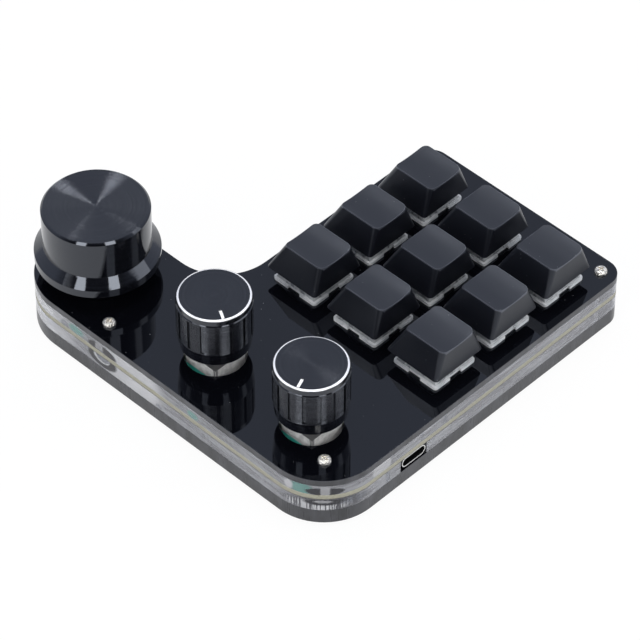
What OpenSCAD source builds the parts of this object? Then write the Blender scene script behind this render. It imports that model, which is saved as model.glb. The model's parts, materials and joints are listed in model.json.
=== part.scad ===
// Macro keypad: nine mechanical keys and three push-and-turn knobs on a stack of
// acrylic plates. Millimetres, +Z up, front edge towards -Y, cable socket in the
// back edge. The origin is the centre of the footprint, on the desk.

/* [Stack] */
// How far the rubber feet stand out below the base plate
foot_h = 1.2; // [0.8:0.1:2.5]
// Thickness of the black base plate
base_t = 4.8; // [4:0.1:6]
// Thickness of the lower clear frame
lower_frame_t = 4.2; // [4:0.1:6]
// Thickness of the circuit board
board_t = 1.6; // [1.2:0.1:2]
// Thickness of the upper clear frame
upper_frame_t = 3.4; // [3.2:0.1:5]
// Thickness of the glossy top plate
top_plate_t = 2; // [1.5:0.1:3]
// Width of the clear frames' wall
frame_wall = 5; // [4:0.25:6]

/* [Outline] */
// Left edge to the centre of the first key column
side_margin = 17.8; // [15:0.1:22]
// Back edge to the centre of the back key row
back_margin = 14.2; // [13:0.1:18]
// Front key row to the front edge of the key area
front_margin = 13.8; // [12:0.1:16]
// Width of the knob arm
arm_w = 35.2; // [35:0.1:38]
// Radius of the corner behind the back knob
back_corner_r = 17; // [10:0.5:17]
// Radius of the two corners beside the keys
corner_r = 5.5; // [3:0.1:7]
// Radius of the fillet between the key area and the knob arm
inner_corner_r = 16; // [10:0.5:18]

/* [Keys] */
// Spacing of the key columns
key_pitch_x = 21.5; // [20:0.1:22.5]
// Spacing of the key rows
key_pitch_y = 22.3; // [20:0.1:23]
// Side of a keycap's square lower rim
cap_base = 18.1; // [18:0.05:18.6]
// Width of a keycap's top face
cap_top_x = 12.3; // [12.2:0.1:14]
// Depth of a keycap's top face
cap_top_y = 13.6; // [13.2:0.1:14.5]
// How far the top face sits behind the rim's centre
cap_top_shift = 1.7; // [0:0.1:1.8]
// Height of a keycap
cap_h = 8.7; // [8.5:0.1:11]
// Wall of a keycap at its rim
cap_wall = 1; // [0.9:0.05:1.1]
// Depth of the cylindrical dish in a keycap's top
cap_dish = 0.9; // [0.4:0.05:1]
// Top plate to a keycap's rim, key up
cap_lift = 4.8; // [4.75:0.05:5.5]
// Travel of a key
key_travel = 4; // [2:0.1:4]

/* [Switches] */
// Side of the switch housing below the plate
switch_body = 13.9; // [13.6:0.05:14.2]
// Side of the switch flange on the plate
flange_w = 15.6; // [15:0.05:15.6]
// Thickness of the switch flange
flange_t = 0.9; // [0.7:0.05:0.9]
// Height of the switch cover above the plate
cover_top = 6.6; // [6.4:0.05:6.6]
// Diameter of the switch's centre post
switch_post_d = 3.9; // [3.5:0.1:4.2]
// Wire diameter of a key spring
spring_wire = 0.4; // [0.3:0.05:0.45]
// Outer diameter of a key spring
spring_d = 4.4; // [4.2:0.05:4.6]

/* [Knob places] */
// Nearest key column to the line of knobs
knob_line = 38.4; // [37:0.1:42]
// Back edge to the back knob
back_knob_inset = 22.1; // [20:0.1:26]
// Back knob to the middle knob
knob_gap_back = 35.6; // [30:0.1:40]
// Middle knob to the large front knob
knob_gap_front = 45; // [40:0.1:50]
// Play of the encoder cans' corners in the holes of the top plate
encoder_hole_play = 0.05; // [0.02:0.01:0.4]

/* [Small knobs] */
// Diameter over the grooved band
small_knob_d = 20.6; // [18:0.1:24]
// Height of the bright rim above the top plate
small_knob_top = 21.7; // [20:0.1:26]
// Top plate to the underside of a small knob
small_knob_lift = 5.2; // [4:0.1:6]
// Height of the plain band below the grooves
small_foot_h = 4.4; // [3:0.1:6]
// Height of the plain band above the grooves
small_crown_h = 1.6; // [1:0.1:3]
// How much narrower the band above the grooves is, on the radius
small_crown_step = 0.25; // [0.1:0.05:0.6]
// Width of the bright chamfer, on the radius
bright_rim_w = 0.65; // [0.4:0.05:1.2]
// Number of grooves
groove_count = 16; // [8:1:24]
// Width of a groove
groove_w = 1; // [0.6:0.1:1.6]
// Depth of a groove
groove_depth = 0.5; // [0.3:0.05:0.8]
// Length of the engraved pointer line
pointer_len = 3; // [2:0.1:5]
// Width of the engraved pointer line
pointer_w = 0.8; // [0.6:0.1:1.6]
// Way the back knob's pointer stands, counted from +X
back_pointer = 22; // [0:1:359]
// Way the middle knob's pointer stands, counted from +X
middle_pointer = 60; // [0:1:359]

/* [Large knob] */
// Diameter of the cylindrical body
large_knob_d = 29.7; // [26:0.1:32]
// Diameter of the rim at the foot
large_rim_d = 34.5; // [33:0.1:34.6]
// Height of the top face above the top plate
large_knob_top = 23.9; // [21:0.1:28]
// Top plate to the underside of the large knob
large_knob_lift = 6; // [4:0.1:6.5]
// Height of the straight rim
large_rim_h = 2.8; // [1.5:0.1:4]
// Height of the cone between the rim and the body
large_cone_h = 2.7; // [1.5:0.1:4]
// Size of the chamfer round the top face
large_chamfer = 0.65; // [0.3:0.05:1.2]

/* [Encoders] */
// Side of the encoder's metal can
can_w = 12; // [11:0.1:12.5]
// Height of the can above the circuit board
can_h = 7; // [6.4:0.1:7.2]
// Sheet thickness of the can
can_t = 0.6; // [0.4:0.05:0.8]
// Width of the plastic base over its two ledges
encoder_ledge_w = 14.2; // [13:0.1:15]
// Diameter of the bushing
bushing_d = 7; // [6.6:0.1:8]
// Height of the bushing above the can
bushing_h = 6; // [5:0.1:6.5]
// Diameter of the shaft
shaft_d = 6; // [5.5:0.1:6]
// Travel of a pressed knob
press_travel = 0.5; // [0.2:0.05:0.6]

/* [Fasteners] */
// Diameter of the plate screws' heads
screw_head_d = 3.7; // [3.2:0.1:4.5]
// Height of the plate screws' heads
screw_head_h = 1.3; // [1:0.1:1.6]
// Diameter of the plate screws' shanks
screw_d = 1.9; // [1.6:0.1:2]
// Nut size across its flats
nut_af = 4; // [3.8:0.1:4.5]
// Thickness of a nut
nut_t = 1.6; // [1.2:0.1:2]
// Outer diameter of the spacer sleeves
spacer_d = 3.6; // [3:0.1:4.4]
// Diameter of the holes round the spacers in the clear frames
frame_hole_d = 6.4; // [5.5:0.1:7]
// Diameter of a rubber foot
foot_d = 9; // [6:0.5:10]

/* [Cable socket] */
// Width of the socket's steel shell
socket_w = 8.94; // [8.9:0.02:9.2]
// Height of the socket's steel shell
socket_h = 3.26; // [3.1:0.02:3.3]
// Length of the socket's steel shell
socket_len = 7.35; // [6.5:0.05:9]
// Wall of the socket's steel shell
socket_wall = 0.3; // [0.2:0.02:0.35]
// Width of the notch in the lower clear frame
socket_notch_w = 10; // [9.6:0.1:12]
// Back left key column to the middle of the socket, towards the knobs
socket_offset = 65.7; // [60:0.1:70]

/* [Hidden] */
$fn = 64;
key_columns = 3;
key_rows = 3;
key_count = key_columns * key_rows;
KEYS = [1:key_count];
KNOBS = ["back", "middle", "front"];

eps = 0.01;
slip = 0.05;         // clearance per side of pieces that are assembled and stay put
slide_gap = 0.2;     // clearance per side of the sliding stems
seat_gap = 0.04;     // gap at the seats of springs and plungers

// Levels of the stack, from the desk up
z_base = foot_h;
z_lower = z_base + base_t;
z_board = z_lower + lower_frame_t;
z_upper = z_board + board_t;
z_plate = z_upper + upper_frame_t;
z_top = z_plate + top_plate_t;
under_plate = top_plate_t + upper_frame_t;

// Footprint
key_area_w = side_margin + (key_columns - 1) * key_pitch_x;
body_w = key_area_w + knob_line + arm_w / 2;
body_d = back_knob_inset + knob_gap_back + knob_gap_front + arm_w / 2;
x_left = -body_w / 2;
x_right = body_w / 2;
y_back = body_d / 2;
arm_x = x_right - arm_w / 2;
arm_left = x_right - arm_w;
key_front = y_back - back_margin - (key_rows - 1) * key_pitch_y - front_margin;

// Places of the keys: 1 is at the back left, 3 at the back right
function key_x(k) = x_left + side_margin + ((k - 1) % key_columns) * key_pitch_x;
function key_y(k) = y_back - back_margin - floor((k - 1) / key_columns) * key_pitch_y;

// Places of the knobs, back to front
function knob_y(k) =
    y_back - back_knob_inset
    - (k == "back" ? 0 : knob_gap_back)
    - (k == "front" ? knob_gap_front : 0);
arm_end_y = knob_y("front");

// Places of the plate screws, each set in from the edges it is near
screw_edge = 4.8;
screw_arm_edge = 5.4;
screw_corner_edge = 10;
side_screw_gap = 16.9;       // large knob's centre to the screw behind it
fillet_centre = [arm_left - inner_corner_r, key_front - inner_corner_r];
SCREWS = [
    [x_left + screw_edge, y_back - screw_edge],
    [x_left + screw_edge, key_front + screw_edge],
    [x_right - screw_corner_edge, y_back - screw_corner_edge],
    [x_right - screw_arm_edge, arm_end_y + side_screw_gap],
    fillet_centre + (inner_corner_r + screw_edge) * [cos(45), sin(45)],
    [arm_x, arm_end_y - arm_w / 2 + screw_edge]
];

// Places of the rubber feet
foot_edge = 16;
FEET = [
    [x_left + foot_edge, y_back - foot_edge],
    [x_left + foot_edge, key_front + foot_edge],
    [x_right - foot_edge, y_back - 1.4 * foot_edge],
    [arm_x, arm_end_y - foot_d / 2]
];

module at_key(k) translate([key_x(k), key_y(k), z_top]) children();
function pointer_angle(k) = k == "back" ? back_pointer : k == "middle" ? middle_pointer : 0;
module at_knob(k) translate([arm_x, knob_y(k), 0]) children();
module at_dial(k) at_knob(k) rotate([0, 0, pointer_angle(k)]) children();

// ---------------------------------------------------------------- plates

// Outline shared by every layer, drawn in by a distance all round
module outline(inset = 0) {
    tip_r = arm_w / 2 - inset;
    small_r = corner_r - inset;
    back_r = back_corner_r - inset;
    fillet_r = inner_corner_r + inset;
    front_y = key_front + inset;
    left_x = x_left + inset;
    wall_x = arm_left + inset;
    difference() {
        union() {
            // Knob arm with its round end
            translate([arm_x, arm_end_y]) circle(r = tip_r, $fn = 96);
            translate([wall_x, arm_end_y])
                square([2 * tip_r, y_back - inset - back_r - arm_end_y]);
            translate([wall_x, y_back - inset - back_r - eps])
                square([2 * tip_r - back_r, back_r + eps]);
            translate([x_right - inset - back_r, y_back - inset - back_r])
                circle(r = back_r, $fn = 96);
            // Key area with its two round corners
            translate([left_x, front_y + small_r])
                square([small_r, y_back - inset - front_y - 2 * small_r]);
            translate([left_x + small_r, front_y])
                square([wall_x - left_x - small_r + eps, y_back - inset - front_y]);
            for (y = [front_y + small_r, y_back - inset - small_r])
                translate([left_x + small_r, y]) circle(r = small_r, $fn = 48);
            // Stock for the fillet between them
            translate([wall_x - fillet_r, front_y - fillet_r])
                square([fillet_r + eps, fillet_r + eps]);
        }
        translate([wall_x - fillet_r, front_y - fillet_r]) circle(r = fillet_r, $fn = 96);
    }
}

// Outline of a clear frame: a wall round the edge, with a boss at each screw
boss_wall = 2;
module frame_outline() {
    difference() {
        union() {
            difference() {
                outline();
                outline(frame_wall);
            }
            intersection() {
                outline();
                for (s = SCREWS) translate(s) circle(d = frame_hole_d + 2 * boss_wall);
            }
        }
        for (s = SCREWS) translate(s) circle(d = frame_hole_d);
    }
}

module screw_holes(extra) {
    for (s = SCREWS) translate(s) circle(d = screw_d + extra);
}

screw_play = 0.3;
module top_plate() {
    hole = switch_body + 2 * slip;
    encoder_hole_d = norm([can_w, can_w]) + encoder_hole_play;
    color("#1b1c1f") translate([0, 0, z_plate]) linear_extrude(top_plate_t) difference() {
        outline();
        for (k = KEYS) translate([key_x(k), key_y(k)]) square(hole, center = true);
        for (k = KNOBS) translate([arm_x, knob_y(k)]) circle(d = encoder_hole_d);
        screw_holes(screw_play);
    }
}

module upper_clear_frame() {
    color("#dfe3e6", 0.4) translate([0, 0, z_upper]) linear_extrude(upper_frame_t) frame_outline();
}

pin_places = [[-3.81, 2.54], [2.54, 5.08]];
pin_d = 1.3;
pin_hole_d = 1.6;
encoder_pin_d = 0.8;
encoder_pin_drop = 1.2;      // below the circuit board
encoder_pin_seat = 0.9;      // into the encoder base
encoder_pin_hole_d = 1.1;
encoder_pin_x = 6.2;
lug_w = 2;
function encoder_pin_ys(side) = side < 0 ? [-2.5, 0, 2.5] : [-2.5, 2.5];
module circuit_board() {
    color("#c9b36a") translate([0, 0, z_board]) linear_extrude(board_t) difference() {
        outline();
        screw_holes(screw_play);
        for (k = KEYS) translate([key_x(k), key_y(k)]) {
            circle(d = switch_post_d + 2 * slip);
            for (p = pin_places) translate(p) circle(d = pin_hole_d, $fn = 24);
        }
        for (k = KNOBS) translate([arm_x, knob_y(k)]) {
            for (side = [-1, 1]) {
                for (y = encoder_pin_ys(side))
                    translate([side * encoder_pin_x, y]) circle(d = encoder_pin_hole_d, $fn = 24);
                translate([0, side * (can_w - can_t) / 2])
                    square([lug_w + 4 * slip, can_t + 4 * slip], center = true);
            }
        }
    }
}

socket_x = x_left + side_margin + socket_offset;
module lower_clear_frame() {
    color("#dfe3e6", 0.4) translate([0, 0, z_lower]) linear_extrude(lower_frame_t) difference() {
        frame_outline();
        translate([socket_x - socket_notch_w / 2, y_back - frame_wall - eps])
            square([socket_notch_w, frame_wall + 1]);
    }
}

nut_pocket_h = nut_t + 0.8;
nut_play = 0.15;
function across_corners(flats) = flats / cos(30);
module base_plate() {
    color("#2a2c2f") difference() {
        translate([0, 0, z_base]) linear_extrude(base_t) difference() {
            outline();
            screw_holes(screw_play);
        }
        for (s = SCREWS) translate([s.x, s.y, z_base - eps])
            cylinder(d = across_corners(nut_af + 2 * nut_play), h = nut_pocket_h + eps, $fn = 6);
    }
}

foot_round = 0.5;
module rubber_feet() {
    color("#151515") for (f = FEET) translate([f.x, f.y, 0]) rotate_extrude()
        polygon([
            [0, 0],
            [foot_d / 2 - foot_round, 0],
            [foot_d / 2, foot_round],
            [foot_d / 2, foot_h],
            [0, foot_h]
        ]);
}

// ---------------------------------------------------------------- fasteners

// Pan-head screw with a domed head, its tip near the bottom of the nut
screw_tip_gap = 0.3;
head_edge_h = 0.5;
driver_slot = 0.5;
module plate_screws() {
    shank = z_top - z_base - screw_tip_gap;
    color("#d8d8d4") for (s = SCREWS) translate([s.x, s.y, z_top]) difference() {
        union() {
            translate([0, 0, -shank]) cylinder(d = screw_d, h = shank + eps, $fn = 32);
            rotate_extrude($fn = 48) polygon([
                [0, 0],
                [screw_head_d / 2, 0],
                [screw_head_d / 2, head_edge_h],
                [0.42 * screw_head_d, 0.8 * screw_head_h],
                [0.26 * screw_head_d, screw_head_h],
                [0, screw_head_h]
            ]);
        }
        for (turn = [0, 90]) rotate([0, 0, turn]) translate([0, 0, screw_head_h])
            cube([0.55 * screw_head_d, driver_slot, screw_head_h], center = true);
    }
}

module plate_nuts() {
    color("#c9c9c4") for (s = SCREWS)
        translate([s.x, s.y, z_base + nut_pocket_h - nut_t]) difference() {
            cylinder(d = across_corners(nut_af), h = nut_t, $fn = 6);
            translate([0, 0, -eps]) cylinder(d = screw_d + 2 * slip, h = nut_t + 2 * eps, $fn = 32);
        }
}

module spacer(z, h) {
    for (s = SCREWS) translate([s.x, s.y, z]) difference() {
        cylinder(d = spacer_d, h = h, $fn = 48);
        translate([0, 0, -eps]) cylinder(d = screw_d + screw_play, h = h + 2 * eps, $fn = 32);
    }
}
module upper_spacers() color("#d6d6d2") spacer(z_upper, upper_frame_t);
module lower_spacers() color("#d6d6d2") spacer(z_lower, lower_frame_t);

// ---------------------------------------------------------------- switches

floor_t = 1.2;               // thickness of a switch's floor
switch_wall = 1.1;           // thickness of a switch's side walls
post_drop = 3;               // how far the centre post reaches below the housing
cover_t = 1;                 // thickness of a switch's cover
notch_w = 4.4;               // width of the notches in the flange
notch_depth = 0.9;
spring_post_d = 2.2;
spring_post_h = 2.6;
neck = [7, 5.6];             // stem cross-section where it leaves the cover
shoulder = [8, 4];           // stem's stop below the cover
cross_arm = 4.1;             // span of the cross that holds the keycap
cross_t = [1.3, 1.1];
switch_floor = floor_t - under_plate;
neck_top = cover_top + 0.3;
stem_bottom = switch_floor + key_travel + 0.4;
cross_h = 3.5;
cross_top = neck_top + cross_h;

// Block whose top is smaller than its foot, each given as [x, y]
module taper_block(foot, top, h) {
    corners = [[-1, -1], [1, -1], [1, 1], [-1, 1]];
    polyhedron(
        concat(
            [for (c = corners) [c.x * foot.x / 2, c.y * foot.y / 2, 0]],
            [for (c = corners) [c.x * top.x / 2, c.y * top.y / 2, h]]
        ),
        [[0, 1, 2, 3], [7, 6, 5, 4], [0, 4, 5, 1], [1, 5, 6, 2], [2, 6, 7, 3], [3, 7, 4, 0]]
    );
}

module switch_base() {
    cavity = switch_body - 2 * switch_wall;
    difference() {
        union() {
            translate([-switch_body / 2, -switch_body / 2, -under_plate])
                cube([switch_body, switch_body, under_plate + eps]);
            linear_extrude(flange_t) difference() {
                square(flange_w, center = true);
                for (turn = [0:90:270]) rotate(turn) translate([flange_w / 2, 0])
                    square([2 * notch_depth, notch_w], center = true);
            }
            translate([0, 0, -under_plate - post_drop])
                cylinder(d = switch_post_d, h = post_drop + eps, $fn = 48);
        }
        translate([-cavity / 2, -cavity / 2, switch_floor])
            cube([cavity, cavity, under_plate + flange_t]);
        for (p = pin_places) translate([p.x, p.y, -under_plate - eps])
            cylinder(d = pin_d + 2 * slip, h = floor_t + 2 * eps, $fn = 24);
    }
    translate([0, 0, switch_floor - eps])
        cylinder(d = spring_post_d, h = spring_post_h + eps, $fn = 32);
}
module switch_bases() color("#b9bbbd") for (k = KEYS) at_key(k) switch_base();

cover_foot = [14.4, 14.4];
cover_crown = [9.8, 8.2];
module switch_cover() {
    h = cover_top - flange_t;
    inner_h = h - cover_t;
    side = [cover_t, cover_t];
    lean = (cover_foot - cover_crown) * inner_h / h;
    hole = neck + 2 * [slide_gap, slide_gap];
    translate([0, 0, flange_t]) difference() {
        taper_block(cover_foot, cover_crown, h);
        translate([0, 0, -eps])
            taper_block(cover_foot - 2 * side, cover_foot - 2 * side - lean, inner_h);
        translate([-hole.x / 2, -hole.y / 2, 0]) cube([hole.x, hole.y, h + 1]);
    }
}
module switch_covers() color("#c6c8ca", 0.8) for (k = KEYS) at_key(k) switch_cover();

// Two contact pins of a switch, each with its leaf inside the housing
leaf_t = 0.3;
leaf_h = 3.2;
leaf_w = 2;
module switch_contacts() {
    color("#d9b45a") for (k = KEYS) at_key(k) for (p = pin_places) {
        leaf_y = max(p.y, neck.y / 2 + slide_gap + leaf_t);
        translate([p.x, p.y, -under_plate - post_drop + 0.6])
            cylinder(d = pin_d, h = floor_t + post_drop - 0.6, $fn = 24);
        translate([p.x - leaf_w / 2, p.y - leaf_t / 2, switch_floor])
            cube([leaf_w, leaf_y - p.y + leaf_t, leaf_t]);
        translate([p.x - leaf_w / 2, leaf_y - leaf_t / 2, switch_floor])
            cube([leaf_w, leaf_t, leaf_h]);
    }
}

// Sliding stem: hollow below for the spring, a cross above for the keycap
spring_room = spring_d + 0.4;
spring_seat = 3.4;
module key_stem(k) {
    color("#a3262a") at_key(k) difference() {
        union() {
            translate([-neck.x / 2, -neck.y / 2, stem_bottom])
                cube([neck.x, neck.y, neck_top - stem_bottom]);
            translate([-shoulder.x / 2, -shoulder.y / 2, stem_bottom])
                cube([shoulder.x, shoulder.y, cover_top - cover_t - slip - stem_bottom]);
            translate([0, 0, neck_top - eps]) linear_extrude(cross_top - neck_top) {
                square([cross_arm, cross_t.x], center = true);
                square([cross_t.y, cross_arm], center = true);
            }
        }
        translate([0, 0, stem_bottom - eps])
            cylinder(d = spring_room, h = spring_seat - stem_bottom + eps);
    }
}

// Coil spring as one unbroken tube from the housing floor to the stem
spring_coils = 6;
rings_per_coil = 8;
wire_sides = 6;
spring_r = (spring_d - spring_wire) / 2;
spring_low = switch_floor + spring_wire / 2 + seat_gap;
spring_high = spring_seat - spring_wire / 2 - seat_gap;
spring_pitch = (spring_high - spring_low) / spring_coils;
echo(least_spring_gap = spring_pitch - spring_wire);
function spring_point(turns, side) =
    let (
        around = 360 * turns,
        across = 360 * side / wire_sides,
        r = spring_r + spring_wire / 2 * cos(across)
    )
    [r * cos(around), r * sin(around), spring_low + spring_pitch * turns + spring_wire / 2 * sin(across)];
module key_spring(k) {
    rings = spring_coils * rings_per_coil;
    points = [for (i = [0:rings]) for (s = [0:wire_sides - 1]) spring_point(i / rings_per_coil, s)];
    sides = [
        for (i = [0:rings - 1]) for (s = [0:wire_sides - 1])
            let (a = i * wire_sides, b = (s + 1) % wire_sides)
            [a + s, a + b, a + wire_sides + b, a + wire_sides + s]
    ];
    first = [for (s = [wire_sides - 1:-1:0]) s];
    last = [for (s = [0:wire_sides - 1]) rings * wire_sides + s];
    color("#c8ccd0") at_key(k) polyhedron(points, concat(sides, [first, last]));
}

// ---------------------------------------------------------------- keycaps

cap_corner_r = 1.1;
cap_top_corner_r = 1.7;
cap_top_t = 1.5;
cap_post_d = 5.5;
cross_play = 0.03;

module rounded_slab(size, r, h) {
    linear_extrude(h) hull() for (x = [-1, 1], y = [-1, 1])
        translate([x * (size.x / 2 - r), y * (size.y / 2 - r)]) circle(r = r, $fn = 32);
}

// Body of a keycap, shrunk by a wall for its inside
module cap_block(wall, top) {
    least_r = 0.3;
    foot = cap_base - 2 * wall;
    crown = [cap_top_x - 2 * wall, cap_top_y - 2 * wall];
    sheet = 0.05;
    hull() {
        rounded_slab([foot, foot], max(least_r, cap_corner_r - wall), sheet);
        translate([0, cap_top_shift, top - sheet]) rounded_slab(crown, cap_top_corner_r - wall / 2, sheet);
    }
}

module keycap(k) {
    dish_r = ((cap_top_x / 2) ^ 2 + cap_dish ^ 2) / (2 * cap_dish);
    ceiling = cap_h - cap_dish - cap_top_t;
    socket_top = cross_top + 0.1 - cap_lift;
    post_low = neck_top + slip - cap_lift;
    cross_hole = 2 * cross_play;
    color("#26272a") at_key(k) translate([0, 0, cap_lift]) {
        difference() {
            cap_block(0, cap_h);
            translate([0, 0, -eps]) cap_block(cap_wall, ceiling);
            translate([0, 0, cap_h - cap_dish + dish_r]) rotate([90, 0, 0])
                cylinder(r = dish_r, h = 2 * cap_base, center = true, $fn = 128);
        }
        difference() {
            translate([0, 0, post_low]) cylinder(d = cap_post_d, h = ceiling - post_low + 0.3, $fn = 48);
            translate([0, 0, post_low - eps]) linear_extrude(socket_top - post_low) {
                square([cross_arm + cross_hole, cross_t.x + cross_hole], center = true);
                square([cross_t.y + cross_hole, cross_arm + cross_hole], center = true);
            }
        }
    }
}

// ---------------------------------------------------------------- encoders

// Heights inside an encoder, from the circuit board up
encoder_floor = 1;
base_h = can_h - can_t;
rotor_t = 1.5;
rotor_d = 9;
rotor_top = base_h - 0.2;
pilot_d = 3;
pilot_bottom = 2.4;
plunger_d = 4;
plunger_t = 0.5;
ledge_h = 1.3;
encoder_base_w = can_w - 2 * can_t - 2 * slip;
bore_gap = 0.05;             // running gap of the shaft in the bushing
shaft_reach = 12;            // shaft above the bushing

module encoder_bases() {
    color("#2fae9c") for (k = KNOBS) at_knob(k) translate([0, 0, z_upper]) difference() {
        union() {
            translate([-encoder_base_w / 2, -encoder_base_w / 2, 0])
                cube([encoder_base_w, encoder_base_w, base_h]);
            translate([-encoder_ledge_w / 2, -0.42 * can_w, 0])
                cube([encoder_ledge_w, 0.84 * can_w, ledge_h]);
        }
        translate([0, 0, encoder_floor])
            cylinder(d = rotor_d + 4 * slide_gap, h = base_h, $fn = 48);
        for (side = [-1, 1], y = encoder_pin_ys(side))
            translate([side * encoder_pin_x, y, -eps])
                cylinder(d = encoder_pin_d + 2 * slip, h = encoder_pin_seat + 0.1, $fn = 24);
    }
}

// Folded sheet-metal can with aprons down to the ledges and open seams at its corners
apron_h = can_h - ledge_h - 2 * slip;
corner_seam = 0.25;
lug_drop = 2.2;
module encoder_cans() {
    apron_w = can_w - 2 * (can_t + corner_seam);
    color("#c9c8c2") for (k = KNOBS) at_knob(k) translate([0, 0, z_upper]) difference() {
        union() {
            translate([-can_w / 2, -can_w / 2, can_h - can_t]) cube([can_w, can_w, can_t]);
            for (side = [-1, 1]) {
                translate([-can_w / 2, side * (can_w - can_t) / 2 - can_t / 2, 0.3])
                    cube([can_w, can_t, can_h - 0.3]);
                translate([side * (can_w - can_t) / 2 - can_t / 2, -apron_w / 2, can_h - apron_h])
                    cube([can_t, apron_w, apron_h]);
                translate([-lug_w / 2, side * (can_w - can_t) / 2 - can_t / 2, -lug_drop])
                    cube([lug_w, can_t, lug_drop + 0.5]);
            }
            translate([0, 0, can_h - eps]) cylinder(d = bushing_d, h = bushing_h);
        }
        translate([0, 0, can_h - can_t - eps])
            cylinder(d = shaft_d + 2 * bore_gap, h = bushing_h + can_t + 3 * eps);
    }
}

module encoder_pins() {
    color("#d8d6cf") for (k = KNOBS) at_knob(k) for (side = [-1, 1], y = encoder_pin_ys(side))
        translate([side * encoder_pin_x, y, z_board - encoder_pin_drop])
            cylinder(d = encoder_pin_d, h = encoder_pin_drop + board_t + encoder_pin_seat, $fn = 24);
}

module plunger(k) {
    color("#e6e4dc") at_knob(k)
        translate([0, 0, z_upper + pilot_bottom - seat_gap - plunger_t])
            cylinder(d = plunger_d, h = plunger_t, $fn = 32);
}

// Shaft with its rotor disc, cut flat on one side above the bushing
flat_depth = 1.5;
shaft_top = can_h + bushing_h + shaft_reach - upper_frame_t - top_plate_t;
knob_bore_top = shaft_top + 0.3;
module shaft(k) {
    flat_low = can_h + bushing_h + 0.6;
    color("#cfcfca") at_dial(k) translate([0, 0, z_upper]) difference() {
        union() {
            translate([0, 0, rotor_top - rotor_t]) cylinder(d = rotor_d, h = rotor_t);
            translate([0, 0, pilot_bottom])
                cylinder(d = pilot_d, h = rotor_top - rotor_t - pilot_bottom + eps, $fn = 32);
            translate([0, 0, rotor_top - eps])
                cylinder(d = shaft_d, h = under_plate + shaft_top - rotor_top);
        }
        translate([-shaft_d / 2 - 1, -shaft_d / 2, flat_low])
            cube([flat_depth + 1, shaft_d, under_plate + shaft_top]);
    }
}

// ---------------------------------------------------------------- knobs

set_screw_d = 2.5;
set_screw_len = 4;
set_screw_gap = 0.2;
hex_d = 1.5;
hex_depth = 1.5;
bushing_room = 1;            // radial room round the bushing under a knob
bushing_top = can_h + bushing_h - upper_frame_t - top_plate_t;
room_top = bushing_top + press_travel + 0.4;
flat_x = -shaft_d / 2 + flat_depth;

// D-shaped bore for the shaft, room for the bushing and the set screw's hole
module knob_bores(lift, screw_z, reach) {
    translate([0, 0, lift - eps])
        cylinder(d = bushing_d + 2 * bushing_room, h = room_top - lift + eps);
    difference() {
        cylinder(d = shaft_d + 2 * slip, h = knob_bore_top);
        translate([-shaft_d, -shaft_d, 0])
            cube([shaft_d + flat_x - slip, 2 * shaft_d, knob_bore_top + 1]);
    }
    translate([flat_x, 0, screw_z]) rotate([0, -90, 0])
        cylinder(d = set_screw_d + 2 * slip, h = reach, $fn = 32);
}

small_r = small_knob_d / 2;
set_screw_h = 3;             // above the room round the bushing
small_screw_z = room_top + set_screw_h;
large_screw_z = room_top + set_screw_h;
rim_drop = 0.4;              // height of the bright chamfer
foot_taper = 0.5;
foot_chamfer = 0.4;
crown_base = small_knob_top - small_crown_h;
groove_margin = 0.2;         // land above and below each groove
pointer_depth = 0.25;
pointer_end_gap = 0.2;

// Small knob: tapered foot, grooved band, plain crown and bright chamfer
module small_knob(k) {
    groove_low = small_knob_lift + small_foot_h;
    crown_r = small_r - small_crown_step;
    color("#2b2c2f") at_dial(k) translate([0, 0, z_top]) difference() {
        rotate_extrude($fn = 96) polygon([
            [0, small_knob_lift],
            [small_r - foot_taper - foot_chamfer, small_knob_lift],
            [small_r - foot_taper, small_knob_lift + foot_chamfer],
            [small_r - 0.05, groove_low - 0.3],
            [small_r, groove_low],
            [small_r, crown_base],
            [crown_r, crown_base + small_crown_step],
            [crown_r, small_knob_top],
            [crown_r - bright_rim_w, small_knob_top + rim_drop],
            [0, small_knob_top + rim_drop]
        ]);
        for (i = [0:groove_count - 1]) rotate([0, 0, (i + 0.5) * 360 / groove_count])
            translate([small_r - groove_depth, -groove_w / 2, groove_low + groove_margin])
                cube([groove_depth + 1, groove_w, crown_base - groove_low - 2 * groove_margin]);
        translate([
            crown_r - bright_rim_w - pointer_end_gap - pointer_len,
            -pointer_w / 2,
            small_knob_top + rim_drop - pointer_depth
        ]) cube([pointer_len, pointer_w, 1]);
        knob_bores(small_knob_lift, small_screw_z, small_r);
    }
}

// Large knob: straight rim, cone, cylindrical body and chamfered top
large_r = large_knob_d / 2;
large_recess_wall = 3;
large_recess_h = 1.6;
module large_knob() {
    rim_r = large_rim_d / 2;
    rim_top = large_knob_lift + large_rim_h;
    color("#303236") at_dial("front") translate([0, 0, z_top]) difference() {
        rotate_extrude($fn = 128) polygon([
            [0, large_knob_lift],
            [rim_r - foot_chamfer, large_knob_lift],
            [rim_r, large_knob_lift + foot_chamfer],
            [rim_r, rim_top],
            [large_r, rim_top + large_cone_h],
            [large_r, large_knob_top - large_chamfer],
            [large_r - large_chamfer, large_knob_top],
            [0, large_knob_top]
        ]);
        translate([0, 0, large_knob_lift - eps])
            cylinder(r = rim_r - large_recess_wall, h = large_recess_h + eps);
        knob_bores(large_knob_lift, large_screw_z, large_r + 1);
    }
}

module knob_screw(k) {
    reach = k == "front" ? large_r : small_r;
    z = k == "front" ? large_screw_z : small_screw_z;
    color("#8d9094") at_dial(k) translate([flat_x - set_screw_gap, 0, z_top + z])
        rotate([0, -90, 0]) difference() {
            cylinder(d = set_screw_d, h = set_screw_len, $fn = 32);
            translate([0, 0, set_screw_len - hex_depth]) cylinder(d = hex_d, h = hex_depth + eps, $fn = 6);
        }
}

// ---------------------------------------------------------------- electronics

module pill(w, h) {
    square([w - h, h], center = true);
    for (side = [-1, 1]) translate([side * (w - h) / 2, 0]) circle(d = h, $fn = 48);
}

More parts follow.
